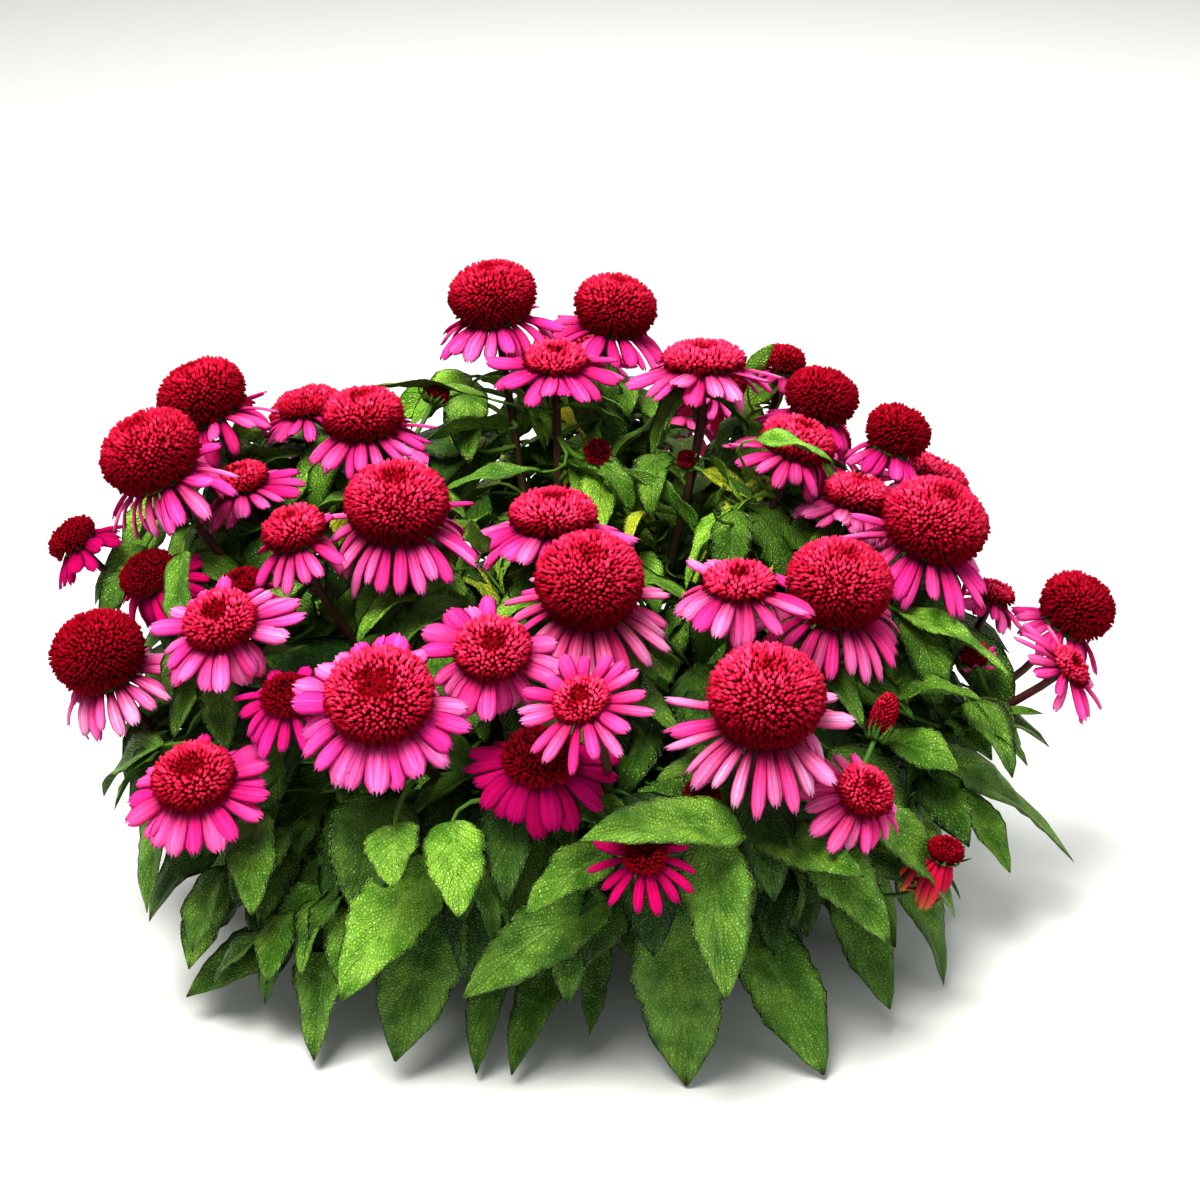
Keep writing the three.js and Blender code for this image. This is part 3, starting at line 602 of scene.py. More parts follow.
def grow_stem_leaf(spray, line, share, size, side, draw, clear=7, apart=11, reach=212):
    """Sets a leaf on a stem, turned and lowered until it is clear of blooms, floor and leaves."""
    foot = on_stem(line, share)
    length = size * between(draw, 0.85, 1.15)
    width = 0.36 * length
    bearing = math.degrees(math.atan2(foot.y, foot.x)) + side * between(draw, 25, 75)
    drop = between(draw, -4, 22)
    for _ in range(9):
        base = foot + heading(bearing, 20) * 0.1 * length
        tip = foot + heading(bearing, -drop) * length
        rib = arched(base, tip, 0.2)
        sideways = across_blade(rib, 60)
        points = []
        for part in (0.3, 0.55, 0.8, 1):
            middle = along_bezier(rib, part)
            half = sideways * width / 2 * (1.2 - part)
            points += [middle - half, middle + half, middle]
        blocked = any(
            p.z < 1.5 or p.to_2d().length > reach or inside_bloom(p, clear) or before_stem(p) for p in points)
        if not blocked and not any((t - p).length < apart for t in taken for p in points):
            # Painted light: the higher a leaf's tip, the brighter it may be.
            phase, bright = 6 * next(look), 0.22 + 0.8 * next(look) * (tip.z / 220) ** 1.5
            place_leaf(spray, along_bezier(line, share), base, tip, width, 60, 0.2, phase, bright)
            return
        bearing += side * 23
        drop += 5


draw = draws(20)
for tier, (height, length, least) in enumerate(STEM_TIERS):
    for k, (head, line) in enumerate(zip(heads, stem_lines)):
        if head.radius >= least:
            side = 1 if (k + tier) % 2 else -1
            grow_stem_leaf(upper, line, between(draw, height, height + 0.08), length, side, draw)

# Small leaves fill the clump between the blooms, where the large ones leave room.
inner = Spray()
draw = draws(9)
for height, length in ((0.86, 40), (0.78, 50), (0.7, 56), (0.6, 60), (0.5, 60), (0.9, 34), (0.66, 46)):
    for k, line in enumerate(stem_lines):
        side = 1 if (k + length) % 2 else -1
        share = between(draw, height, height + 0.08)
        grow_stem_leaf(inner, line, share, length, side, draw, clear=4, apart=6.5, reach=200)

# Young yellow-green leaves, and darker ones whose dark green is painted shade, close the heart of the
# clump. Three more ranks of dark ones, painted with shade, hang round its foot. The numbers are the
# leaves tried in the heart, its radius, and the leaves tried round it.
HEART_LEAVES, HEART_RADIUS, FLANK_LEAVES = 230, 118, 150
young, shaded = Spray(), Spray()


def in_notch(tip):
    """Whether a tip would fill the open notch on the right, under the stems that lean out there."""
    return tip.x > 190 and -115 < tip.y < 70 and 55 < tip.z < 112


def hang_leaf(spray, foot, base, bearing, drop, length, width, roll, phase, bright):
    """Sets a leaf that hangs out along a bearing, its upper face up and outward, if it is clear."""
    if foot.z > STEM_FOOT:
        base = foot + (base - foot) * min(1, LONGEST_STALK / (base - foot).length)
    rib = arched(base, base + heading(bearing, -drop) * length, 0.2)
    level = heading(bearing - 90)
    across = (level + heading(bearing, 90 - drop) * math.tan(math.radians(roll))).normalized()
    middles = [along_bezier(rib, part) for part in (0.1, 0.4, 0.7, 1)]
    edges = [middle + across * side * 0.3 * width for middle in middles for side in (-1, 0, 1)]
    low = rib[2].z < 2.5 or in_notch(rib[2])
    if not low and not any(inside_bloom(p, 3) for p in middles) and not any(map(before_stem, edges)):
        spray.lay(foot, rib, across, width, phase, bright)


draw = draws(58)
for k in range(HEART_LEAVES):
    far = HEART_RADIUS * math.sqrt(next(draw))
    base = heading(360 * next(draw)) * far + Vector((-8, 66, between(draw, 150, 250 - 0.25 * far)))
    front = -90 if base.y < 60 or k % 5 < 3 else 90
    bearing, drop = front + between(draw, -75, 75), between(draw, 8, 62)
    length = between(draw, 36, 62)
    small = next(draw) < 0.55
    spray, bright = (young, between(draw, 0.6, 1.8)) if small else (shaded, between(draw, 0.1, 0.7))
    width = (0.36 if small else 0.46) * length
    hang_leaf(spray, nearest_on_stem(base), base, bearing, drop, length, width, between(draw, -30, 30),
              6 * next(draw), bright)
for _ in range(FLANK_LEAVES):
    bearing = 360 * next(draw)
    far = between(draw, 60, 165)
    base = heading(bearing) * far + UP * between(draw, 80, 200 - 50 * (far / 165) ** 2)
    length = between(draw, 50, 80)
    hang_leaf(shaded, nearest_on_stem(base), base, bearing + between(draw, -50, 50), between(draw, 15, 60),
              length, 0.46 * length, between(draw, -25, 25), 6 * next(draw), between(draw, 0, 0.5))


def fill_box(low, high, count, front=None):
    """Hangs leaves with their bases in a box, outward, or towards the front."""
    for _ in range(count):
        base = Vector([between(draw, *ends) for ends in zip(low, high)])
        bearing = math.degrees(math.atan2(base.y, base.x)) if front is None else front
        bearing += between(draw, -50, 50)
        length = between(draw, 36, 54)
        hang_leaf(shaded, foot_of(base), base, bearing, between(draw, 15, 60), length, 0.48 * length,
                  between(draw, -25, 25), 6 * next(draw), between(draw, 0.1, 0.6))


# Boxes in the flanks and the heart: their low and high corners, and the leaves tried in each.
for low, high, count in (
    ((140, -88, 82), (184, -10, 166), 26),
    ((-176, -158, 52), (-104, -100, 112), 22),
    ((-206, -50, 140), (-96, 70, 224), 44),
    ((100, -30, 130), (196, 80, 206), 34),
    ((-205, -100, 118), (-170, -40, 160), 14),
    ((-200, 20, 165), (-120, 90, 225), 30),
    ((-180, 40, 185), (-110, 110, 224), 26),
    ((150, -110, 130), (200, -30, 186), 30),
    ((20, -30, 140), (80, 30, 210), 18),
):
    fill_box(low, high, count)
# The ranks round the foot: how far out, how low and how high they start, and how many leaves.
for far, low, high, count in ((112, 62, 92, 42), (138, 92, 130, 38), (166, 100, 150, 36)):
    for k in range(count):
        bearing = 360 * k / count + between(draw, -5, 5)
        base = heading(bearing) * far * between(draw, 0.92, 1.06) + UP * between(draw, low, high)
        hang_leaf(shaded, sheath_foot(base), base, bearing + between(draw, -14, 14), between(draw, 36, 56),
                  between(draw, 58, 80), between(draw, 28, 42), between(draw, -25, 25), 6 * next(draw),
                  between(draw, 0, 0.35))
# Boxes whose leaves hang towards the front.
for low, high, count in (
    ((-110, 40, 205), (70, 150, 262), 48),
    ((-214, -12, 178), (-192, 45, 214), 22),
    ((160, -60, 165), (190, 10, 190), 14),
    ((-75, -10, 165), (-40, 60, 192), 10),
    ((80, 40, 205), (112, 90, 250), 14),
    ((-190, 30, 205), (-155, 90, 240), 10),
    ((-207, -100, 140), (-180, -50, 178), 12),
):
    fill_box(low, high, count, -90)

# Broad leaves high up behind the tall stems: base x, y, z; bearing; drop; length; how bright.
for bx, by, bz, bearing, drop, length, bright in (
    (-62, 118, 246, 215, 30, 46, 0.8),
    (-56, 120, 240, 250, 50, 44, 1.1),
    (-40, 124, 242, -10, 25, 44, 0.5),
    (-36, 122, 228, -30, 40, 44, 0.7),
    (-30, 122, 238, -60, 50, 42, 0.8),
    (24, 118, 238, -40, 30, 40, 0.8),
    (16, 128, 240, 200, 30, 42, 0.4),
    (62, 74, 250, 20, 40, 44, 0.6),
    (-206, 30, 214, 250, 45, 46, 0.3),
    (-212, 24, 204, 215, 40, 40, 0.4),
    (-200, 10, 206, 265, 60, 44, 0.3),
):
    base = Vector((bx, by, bz))
    roll, phase = 12, by
    hang_leaf(young, nearest_on_stem(base), base, bearing, drop, length, 0.5 * length, roll, phase, bright)

# Single leaves beside blooms: base x, y, z; tip x, y, z; width; bearing that the upper face looks to.
for bx, by, bz, tx, ty, tz, width, facing in (
    (90, -24, 262, 129, -34, 253, 17, -24),
    (92, 84, 250, 105, 80, 275, 10, 52),
    (-214, 46, 203, -236, 34, 163, 24, -95),
    (-203, -26, 146, -219, -38, 100, 20, -100),
    (-68, 112, 234, -100, 106, 224, 22, -90),
    (-22, 120, 228, -42, 112, 204, 20, -85),
    (-165, 74, 232, -184, 66, 225, 16, -95),
    (110, 104, 245, 90, 98, 232, 15, -80),
):
    base, tip = Vector((bx, by, bz)), Vector((tx, ty, tz))
    across = (tip - base).cross(heading(facing, 50)).normalized()
    young.lay(nearest_on_stem(base), arched(base, tip, 0.14), across, width, 2.0, 0.85)


def blade(name, outline, stations, columns, relief, thickness, reach=lambda u, v: u, stretch=1.0):
    """A thin closed blade: u runs along it and v from edge to edge. Its vertices carry their place
    in the flat (reach, v times the outline, relief), their v, and the face that they are on. A
    stretch over 1 makes the last step short."""
    index, places, shape, across, face = {}, [], [], [], []

    def vertex(i, j, side):
        rim = i in (0, stations) or j in (0, columns)
        key = (i, j, 0 if rim else side)
        if key not in index:
            u, v = min(stretch * i / stations, 1), 2 * j / columns - 1
            index[key] = len(places)
            places.append((reach(u, v), v * outline(u), 0))
            shape.append((reach(u, v), v * outline(u), relief(u, v)))
            across.append(v)
            face.append(key[2] * thickness / 2)
        return index[key]

    faces = []
    for i in range(stations):
        for j in range(columns):
            for side in (1, -1):
                corners = [vertex(i, j, side), vertex(i + 1, j, side)]
                corners += [vertex(i + 1, j + 1, side), vertex(i, j + 1, side)]
                faces.append(corners if side > 0 else corners[::-1])
    mesh = seedbed(name, places, (), faces, shape=shape, across=across, face=face)
    return bpy.data.objects.new(name, mesh)


def leaf_outline(u):
    """Half the width of a leaf, at most 1: broad a third of the way up, drawn out to its tip."""
    teeth = 1 + 0.035 * math.cos(2 * math.pi * 8 * u) * min(1, 4 * u)
    return max(0.03, 2.62 * (1 - u) ** 0.9 * u**0.55 * teeth)


def leaf_relief(u, v):
    """The halves rise from the midrib and level out, with a swelling between the side veins."""
    swell = 0.05 * math.cos(2 * math.pi * (7.5 * u - 2.6 * abs(v))) * (1 - abs(v))
    return (0.75 * abs(v) - 0.42 * v * v + swell) * leaf_outline(u)


def open_blades(tree, given):
    """A copy of the blade at each point of the seedbed, with its u, its v and its relief."""
    pattern = add(tree, "GeometryNodeObjectInfo", given["Blade"], output=4)
    copies = add(tree, "GeometryNodeInstanceOnPoints", given["Geometry"], None, pattern)
    real = add(tree, "GeometryNodeRealizeInstances", copies)
    shape = field(tree, "shape", "FLOAT_VECTOR")
    return real, *(add(tree, "ShaderNodeSeparateXYZ", shape, output=k) for k in range(3))


def close_blades(tree, blades, place, u, finish):
    """Ends a tree of blades: their points' places, and how far along each one lies."""
    moved = add(tree, "GeometryNodeSetPosition", blades, None, place)
    close_recipe(tree, add(tree, "GeometryNodeStoreNamedAttribute", moved, None, "along", u), finish)


leaf_blade = blade("leaf_blade", leaf_outline, 18, 8, leaf_relief, 0.7)
small_blade = blade("small_leaf_blade", leaf_outline, 10, 6, leaf_relief, 0.7)
plain_blade = blade("plain_leaf_blade", leaf_outline, 8, 4, leaf_relief, 0.7)

leaf_tree, given = recipe(
    "leaves from their midribs", Blade="Object", Wave="Float", Twist="Float", Finish="Material")
blades, u, v, relief = open_blades(leaf_tree, given)
base, crest, tip = (field(leaf_tree, key, "FLOAT_VECTOR") for key in ("base", "crest", "tip"))
rest = 1 - u
middle = base * (rest * rest) + crest * (2 * rest * u) + tip * (u * u)
onward = ((crest - base) * rest + (tip - crest) * u).math("NORMALIZE")
given_across = field(leaf_tree, "sideways", "FLOAT_VECTOR")
square = (given_across - onward * onward.math("DOT_PRODUCT", given_across)).math("NORMALIZE")
upward = square.math("CROSS_PRODUCT", onward)
half = field(leaf_tree, "width") * 0.5
phase = field(leaf_tree, "phase")
ripple = (u * 11 + phase).math("SINE") * v * given["Wave"]
rise = relief * half * 0.9 + field(leaf_tree, "face") + ripple
side = v * half * ((u * 19 + phase * 3).math("SINE") * 0.05 + 1)
twist = phase.math("SINE") * (u - 0.25) * given["Twist"]
sine, cosine = twist.math("SINE"), twist.math("COSINE")
spread = middle + square * (side * cosine - rise * sine) + upward * (rise * cosine + side * sine)
close_blades(leaf_tree, blades, spread, u, given["Finish"])

underside, given = node_group(
    "underside", "ShaderNodeTree", Colour="Color", Underneath="Color", Share="Float")
below = add(underside, "ShaderNodeMath", attribute(underside, "face"), 0.0, operation="LESS_THAN")
tinted = (below * given["Share"]).blend(given["Colour"], given["Underneath"])
put_out(underside, "Colour", "Color", tinted)

leaf_skin, tree, shader = material("leaf skin", 0.4, specular=0.34)
object_space = add(tree, "ShaderNodeTexCoord", output=3)
along, across = attribute(tree, "along"), abs(attribute(tree, "across"))
bright = attribute(tree, "bright")
bowed = along * 8.5 - across ** 0.8 * 3.4
side_veins = 1 - abs(bowed.math("FRACT") - 0.5) * 2
side_veins = side_veins ** 9.0
midrib = 1 - across.ramp(0.0, 0.08)
veins = side_veins.math("MAXIMUM", midrib)
mottle = noise(tree, object_space, 70, 4.0).ramp(0.35, 0.65)
cells = add(tree, "ShaderNodeTexVoronoi", object_space, 620, feature="DISTANCE_TO_EDGE")
cells = cells.ramp(0.0, 0.32)
# Each leaf's brightness runs from a very dark green, painted shade on the leaves in the heart and low down,
# to a fresh green that is partly painted light.
deep = mottle.blend((0.003, 0.024, 0.0005, 1), (0.018, 0.09, 0.001, 1))
fresh = mottle.blend((0.12, 0.38, 0.004, 1), (0.5, 0.88, 0.1, 1))
green = bright.blend(deep, fresh)
# The brightest leaves turn yellow: partly the colour of young leaves, partly painted light.
young_lit_yellow = bright.ramp(0.9, 1.8)
green = young_lit_yellow.blend(green, (0.85, 0.78, 0.04, 1))
# Painted shade: darker along the cell edges, in the creases where the bump sinks.
green = ((1 - cells) * 0.45).blend(green, (0.004, 0.02, 0.001, 1))
vein_green = bright.blend((0.05, 0.17, 0.01, 1), (0.6, 0.85, 0.16, 1))
veined = (veins * 0.3).blend(green, vein_green)
colour = add(tree, "ShaderNodeGroup", veined, (0.07, 0.2, 0.015, 1), 0.5, node_tree=underside)
paint(tree, shader, colour)
bump(tree, shader, cells * 0.5 - veins * 0.7, 0.9, 0.0012)

stalk_skin, tree, shader = material("leafstalk skin", 0.5, specular=0.2)
# Each stalk is lighter or darker with the brightness of its leaf, painted light and shade included.
pale = attribute(tree, "tint").blend((0.02, 0.07, 0.006, 1), (0.14, 0.28, 0.03, 1))
paint(tree, shader, pale)

sprays = (
    ("outer_leaves", outer, leaf_blade),
    ("ring_leaves", ring, leaf_blade),
    ("stem_leaves", upper, leaf_blade),
    ("inner_leaves", inner, small_blade),
    ("young_leaves", young, small_blade),
    ("shaded_leaves", shaded, plain_blade),
)
for name, spray, pattern in sprays:
    leaves = grow(name, leaf_tree, spray.bed(), Blade=pattern, Wave=1.8, Twist=0.8, Finish=leaf_skin)
    settle(leaves, "foliage")
    bed = strand(spray.stalks, spray.girths, 5, spray.columns["bright"])
    stalks = grow(name + "_stalks", tube_tree, bed, Sides=4, Finish=stalk_skin)
    settle(stalks, "foliage")

# ---- Receptacles and bracts ----
# Each stem swells into a green disc that carries the rays and the cone, with two ranks of small
# pointed bracts turned out under the rays.
DISC_SIDES = BRACTS = 14
bract_blade = blade("bract_blade", lambda u: max(0.06, 1 - u**1.6), 4, 2, lambda u, v: 0.3 * abs(v), 0.5)
bracts = Spray()
draw = draws(3)
disc_places, disc_faces = [], []
for head in heads:
    first = len(disc_places)
    rim = head.rim
    profile = [(2.2, -2.5), (0.5 * rim, -0.9), (rim, 0.7), (rim + 0.4, 2), (0.7 * rim, 3.4)]
    for out, rise in profile:
        for k in range(DISC_SIDES):
            disc_places.append(head.place @ (heading(360 * k / DISC_SIDES) * out + UP * rise))
    last = first + DISC_SIDES * (len(profile) - 1)
    disc_faces += bands(first, len(profile), DISC_SIDES)
    disc_faces.append([first + k for k in reversed(range(DISC_SIDES))])
    disc_faces.append([last + k for k in range(DISC_SIDES)])
    for k in range(BRACTS):
        turn = 360 * (k + 0.6 * next(draw)) / BRACTS
        rank = k % 2
        near = 0.55 * rim
        far = near + between(draw, 6, 9) - 1.5 * rank
        drop = between(draw, -1, 3) + 1.2 * rank
        rib = [heading(turn) * near - UP * 1.2, heading(turn) * (near + far) / 2 - UP * 0.6,
               heading(turn) * far - UP * drop]
        sideways = head.place.to_3x3() @ heading(turn - 90)
        bracts.lay(rib[0], [head.place @ p for p in rib], sideways, 3.4, 0, between(draw, 0.3, 0.8))
bract_look = dict(Blade=bract_blade, Wave=0.0, Twist=0.0, Finish=leaf_skin)
settle(grow("bracts", leaf_tree, bracts.bed(), **bract_look), "foliage")
disc_mesh = bpy.data.meshes.new("receptacles")
disc_mesh.from_pydata(disc_places, [], disc_faces)
disc_mesh.shade_smooth()
receptacles = plain_piece("receptacles", disc_mesh, stalk_skin)
settle(receptacles, "foliage")

# ---- Rays ----
# The rays are soft straps, narrow at the foot and broad towards three small teeth at the tip, with two
# grooves along them. They leave the receptacle's rim in two ranks, and arch over and down.
# Room for each ray round the ring; how wide the rays of a flat bloom are, and those of a tall one; and
# how far a groove lies from the midline, as a share of the half width.
RAY_PITCH = 8.0
FLAT_BLOOM_RAY, TALL_BLOOM_RAY = 11.6, 8.4
GROOVE = 1 / 3


def ray_outline(u):
    """Half the width of a ray, at most 1."""
    swell = min(1, u / 0.62)
    end = max(0, (u - 0.78) / 0.22)
    return (0.5 + 0.5 * swell * swell * (3 - 2 * swell)) * math.sqrt(1 - 0.84 * end * end)


def ray_reach(u, v):
    """How far along a ray its point lies: its end is cut into three teeth by two notches."""
    notch = math.exp(-(((abs(v) - GROOVE) / 0.14) ** 2))
    return u * (1 - (0.09 * notch + 0.07 * v * v) * max(0, (u - 0.75) / 0.25))


def ray_relief(u, v):
    """Two grooves along a ray, and edges that turn down, in millimetres."""
    groove = math.exp(-(((abs(v) - GROOVE) / 0.15) ** 2))
    return -0.6 * groove * math.sqrt(math.sin(math.pi * min(u, 0.97))) - 1.5 * v * v


ray_blade = blade("ray_blade", ray_outline, 7, 6, ray_relief, 0.5, ray_reach, 1.13)

ray_tree, given = recipe("rays round a receptacle", Blade="Object", Finish="Material")
straps, u, v, relief = open_blades(ray_tree, given)
turn, length, droop = (field(ray_tree, key) for key in ("turn", "length", "droop"))
curl = field(ray_tree, "curl")
bent = droop * (u * 0.65 + 0.35) + curl * u * u
slope = droop * (u * 1.3 + 0.35) + curl * u * u * 3
side = v * field(ray_tree, "width") * 0.5
thick = relief + field(ray_tree, "face") + side * field(ray_tree, "roll")
side = side + u * u * field(ray_tree, "swerve")
out = field(ray_tree, "rim") + length * u * bent.math("COSINE") + thick * slope.math("SINE")
rise = field(ray_tree, "lift") - length * u * bent.math("SINE") + thick * slope.math("COSINE")
sine, cosine = turn.math("SINE"), turn.math("COSINE")
x, y = out * cosine - side * sine, out * sine + side * cosine
spread = add(ray_tree, "ShaderNodeCombineXYZ", x, y, rise)
close_blades(ray_tree, straps, spread, u, given["Finish"])

ray_skin, tree, shader = material("ray skin", 0.7, specular=0.02, glow=0.5)
along, across = attribute(tree, "along"), attribute(tree, "across")
pale, shade = attribute(tree, "pale"), attribute(tree, "shade")
threads = add(tree, "ShaderNodeCombineXYZ", across * 9, along * 0.8, shade * 40)
threads = noise(tree, threads, 2.2, 3.0)
threads = threads.ramp(0.35, 0.65)
outward = abs(across)
groove = abs(outward - GROOVE).ramp(0.0, 0.16, 1.0, 0.0)
edge = outward.ramp(0.45, 1.0)
body = shade.blend((0.92, 0.001, 0.16, 1), (1.0, 0.006, 0.38, 1))
faded = shade.blend((1.0, 0.02, 0.3, 1), (1.0, 0.05, 0.5, 1))
faded = pale.blend(faded, (1.0, 0.52, 0.8, 1))
# Paler towards the tip, the ray's own colour, and paler along its middle than at its edges, a painted
# highlight.
paling_and_highlight = along ** 0.7 * (pale * 0.6 + 0.5) * (1.1 - across * across * 0.5)
colour = paling_and_highlight.blend(body, faded)
# Painted shade: darker along the two grooves, most towards the foot.
colour = (groove * 0.75 * (1.15 - along)).blend(colour, (0.38, 0.0005, 0.09, 1))
colour = (threads * 0.6).blend(colour, (0.8, 0.002, 0.18, 1))
# Darker towards the edges: partly the ray's own colour, partly painted shade where the edges turn down.
colour = (edge * 0.7).blend(colour, (0.6, 0.001, 0.12, 1))
# Darker towards the foot: partly the ray's own deeper base, partly painted shade under the cone.
foot = along.ramp(0.12, 0.62, 0.95, 0.0)
colour = foot.blend(colour, (0.2, 0.0005, 0.04, 1))
colour = add(tree, "ShaderNodeGroup", colour, (0.7, 0.03, 0.22, 1), 0.5, node_tree=underside)
# Painted shade: rays whose paleness falls below 0.3 turn darker, most on the blooms below 0 that stand in the
# shade.
bloom_shade = pale.ramp(-0.6, 0.3, 0.85, 0.0)
colour = bloom_shade.blend(colour, (0.22, 0.0005, 0.05, 1))
paint(tree, shader, colour)
bump(tree, shader, threads + groove, 0.7, 0.0009)


def room_at(point, head):
    """How far a point is on this bloom's side of the planes that part it from the others."""
    def power(h):
        return (point - h.heart).length_squared - (h.radius + 0.4 * h.ray) ** 2

    own = power(head)
    return min((power(h) - own) / (2 * (h.heart - head.heart).length) for h in heads if h is not head)


def ray_bed(head):
    """The rays of one bloom, each bent down and shortened until its tip clears the other blooms."""
    draw = draws(head.number + 100)
    count = round(2 * math.pi * (head.rim + head.ray / 2) / RAY_PITCH)
    broad = FLAT_BLOOM_RAY if head.height < 0.9 * head.radius else TALL_BLOOM_RAY
    broad = min(broad, 0.65 * head.radius - 0.6)
    keys = ("turn", "length", "droop", "width", "rim", "lift", "curl", "roll", "swerve", "shade", "pale")
    columns = {key: [] for key in keys}
    for k in range(count):
        turn = 2 * math.pi * (k + between(draw, -0.22, 0.22)) / count
        length = head.ray * between(draw, 0.92, 1.2)
        outward = (head.place.to_3x3() @ polar(1, turn)).dot(head.lean)
        droop = (0.52 + 0.4 * max(0, outward)) * head.droop + between(draw, -9, 10) - 4 * (k % 2)
        for _ in range(9):
            far = head.rim + length * math.cos(math.radians(droop))
            drop = length * math.sin(math.radians(droop))
            tip = polar(far, turn, 2.4 - drop)
            if room_at(head.place @ tip, head) > -5:
                break
            droop = min(droop + 7, 66)
            length *= 0.97
        width = broad * between(draw, 0.76, 1.12)
        curl, roll, swerve = (between(draw, *ends) for ends in ((-0.06, 0.2), (-0.45, 0.45), (-2, 2)))
        shade = head.cool + between(draw, -0.3, 0.3)
        pale = head.pale + 0.6 * abs(head.pale) * between(draw, -1, 0.7)
        row = (turn, length, math.radians(droop), width, head.rim - 3, 2 + 0.9 * (k % 2),
               curl, roll, swerve, shade, pale)
        for key, value in zip(keys, row):
            columns[key].append(value)
    return seedbed("rays", [(0, 0, 0)] * count, **columns)


# ---- Cones ----
# The cone is a dense dome of several hundred tubular florets, each a slim bud with pointed lobes, set
# in spirals. Young cones are flat, with a dimple of closed florets in the middle.
# The turn from one floret of a spiral to the next, the share of a square that a floret fills, and in
# how many steps a dome is measured.
GOLDEN_TURN = 2.39996
PACKING = 0.866
DOME_STEPS = 60


def floret():
    """A slim bud, one long, that narrows upwards and ends in four pointed lobes round a hollow."""
    places, rise = [(0, 0, 0), (0, 0, 0.84)], [0, 0.6]
    for out, height, spin in ((0.95, 0.45, 0), (0.6, 1, 0.5)):
        for k in range(4):
            turn = 2 * math.pi * (k + spin) / 4
            places.append(polar(out, turn, height))
            rise.append(height)
    faces = []
    for k in range(4):
        near, following, lobe = 2 + k, 2 + (k + 1) % 4, 6 + k
        faces += [(0, following, near), (near, following, lobe), (near, lobe, 1), (lobe, following, 1)]
    return bpy.data.objects.new("floret", seedbed("floret", places, (), faces, rise=rise))


cone_tree, given = recipe("florets on a dome", Floret="Object", Girth="Float", Seed="Int", Finish="Material")
size = field(cone_tree, "size")
rooted = add(cone_tree, "FunctionNodeCompare", size, 0.01, data_type="FLOAT", operation="GREATER_THAN")
pattern = add(cone_tree, "GeometryNodeObjectInfo", given["Floret"], output=4)
facing = field(cone_tree, "facing", "FLOAT_VECTOR")
facing = add(cone_tree, "FunctionNodeAlignRotationToVector", None, None, facing)
spin = add(cone_tree, "FunctionNodeRandomValue", 0.0, 6.28, None, given["Seed"])
spin = add(cone_tree, "FunctionNodeAxisAngleToRotation", None, spin)
facing = add(cone_tree, "FunctionNodeRotateRotation", facing, spin, rotation_space="LOCAL")
girth = (field(cone_tree, "tint") * 0.3 + 0.85) * given["Girth"]
stretch = add(cone_tree, "ShaderNodeCombineXYZ", girth, girth, size)
bed = given["Geometry"]
florets = add(cone_tree, "GeometryNodeInstanceOnPoints", bed, rooted, pattern, None, None, facing, stretch)
florets = add(cone_tree, "GeometryNodeRealizeInstances", florets)
core = add(cone_tree, "GeometryNodeDeleteGeometry", bed, rooted)
both = add(cone_tree, "GeometryNodeJoinGeometry", florets)
cone_tree.links.new(core.socket, both.socket.node.inputs[0])
close_recipe(cone_tree, both, given["Finish"])

floret_skin, tree, shader = material("floret skin", 0.7, specular=0.02)
rise, bright, tint = attribute(tree, "rise"), attribute(tree, "bright"), attribute(tree, "tint")
deep = tint.blend((0.1, 0.0002, 0.002, 1), (0.28, 0.0006, 0.008, 1))
crimson = tint.blend((0.4, 0.0004, 0.013, 1), (0.62, 0.0012, 0.03, 1))
coral = tint.blend((1.0, 0.012, 0.1, 1), (1.0, 0.11, 0.28, 1))
tipped = (bright ** 1.4).blend(crimson, coral)
colour = (rise ** 2.0).blend(deep, tipped)
# Painted shade: florets with little brightness, those that face down and those of blooms in the shade, turn
# dark, most at their bases.
cone_shade = bright.ramp(0.02, 0.45, 0.86, 0.0)
colour = (cone_shade * (1.25 - rise * 0.65)).blend(colour, (0.1, 0.0002, 0.003, 1))
# Painted shade: blooms and buds whose brightness is below 0 go almost black.
unlit = bright.ramp(-0.8, 0.0, 0.95, 0.0)
colour = unlit.blend(colour, (0.02, 0.0002, 0.001, 1))
paint(tree, shader, colour)


class Dome:
    """A cone's skin, from its foot, at 0, to its top, at 1, with equal areas for equal steps."""

    def __init__(self, radius, height):
        self.radius, self.height = radius, height
        self.squat = min(1, height / (1.4 * radius))
        self.lowest = -math.radians(50 * self.squat)
        self.climb = height / (1 - math.sin(self.lowest))
        arc = math.pi / 2 - self.lowest
        self.steps = [self.lowest + arc * i / DOME_STEPS for i in range(DOME_STEPS + 1)]
        self.area = [0.0]
        for low, high in zip(self.steps, self.steps[1:]):
            a = (low + high) / 2
            slant = math.hypot(radius * math.sin(a), self.climb * math.cos(a)) * (high - low)
            self.area.append(self.area[-1] + 2 * math.pi * radius * math.cos(a) * slant)

    def at(self, share, depth):
        """(distance out, height, outward direction out and up) at a share of the area."""
        wanted = share * self.area[-1]
        i = next((k for k, area in enumerate(self.area) if area > wanted), DOME_STEPS) or 1
        part = (wanted - self.area[i - 1]) / (self.area[i] - self.area[i - 1])
        a = self.steps[i - 1] + part * (self.steps[i] - self.steps[i - 1])
        out, rise = math.cos(a), math.sin(a)
        length = math.hypot(out * self.climb, rise * self.radius)
        nose = (out * self.climb / length, rise * self.radius / length)
        dimple = (1 - self.squat) * 0.3 * self.radius * max(0, 1 - (2.2 * out) ** 2)
        return (
            self.radius * out - depth * nose[0],
            CONE_FOOT + self.climb * (rise - math.sin(self.lowest)) - depth * nose[1] - dimple,
            *nose,
        )


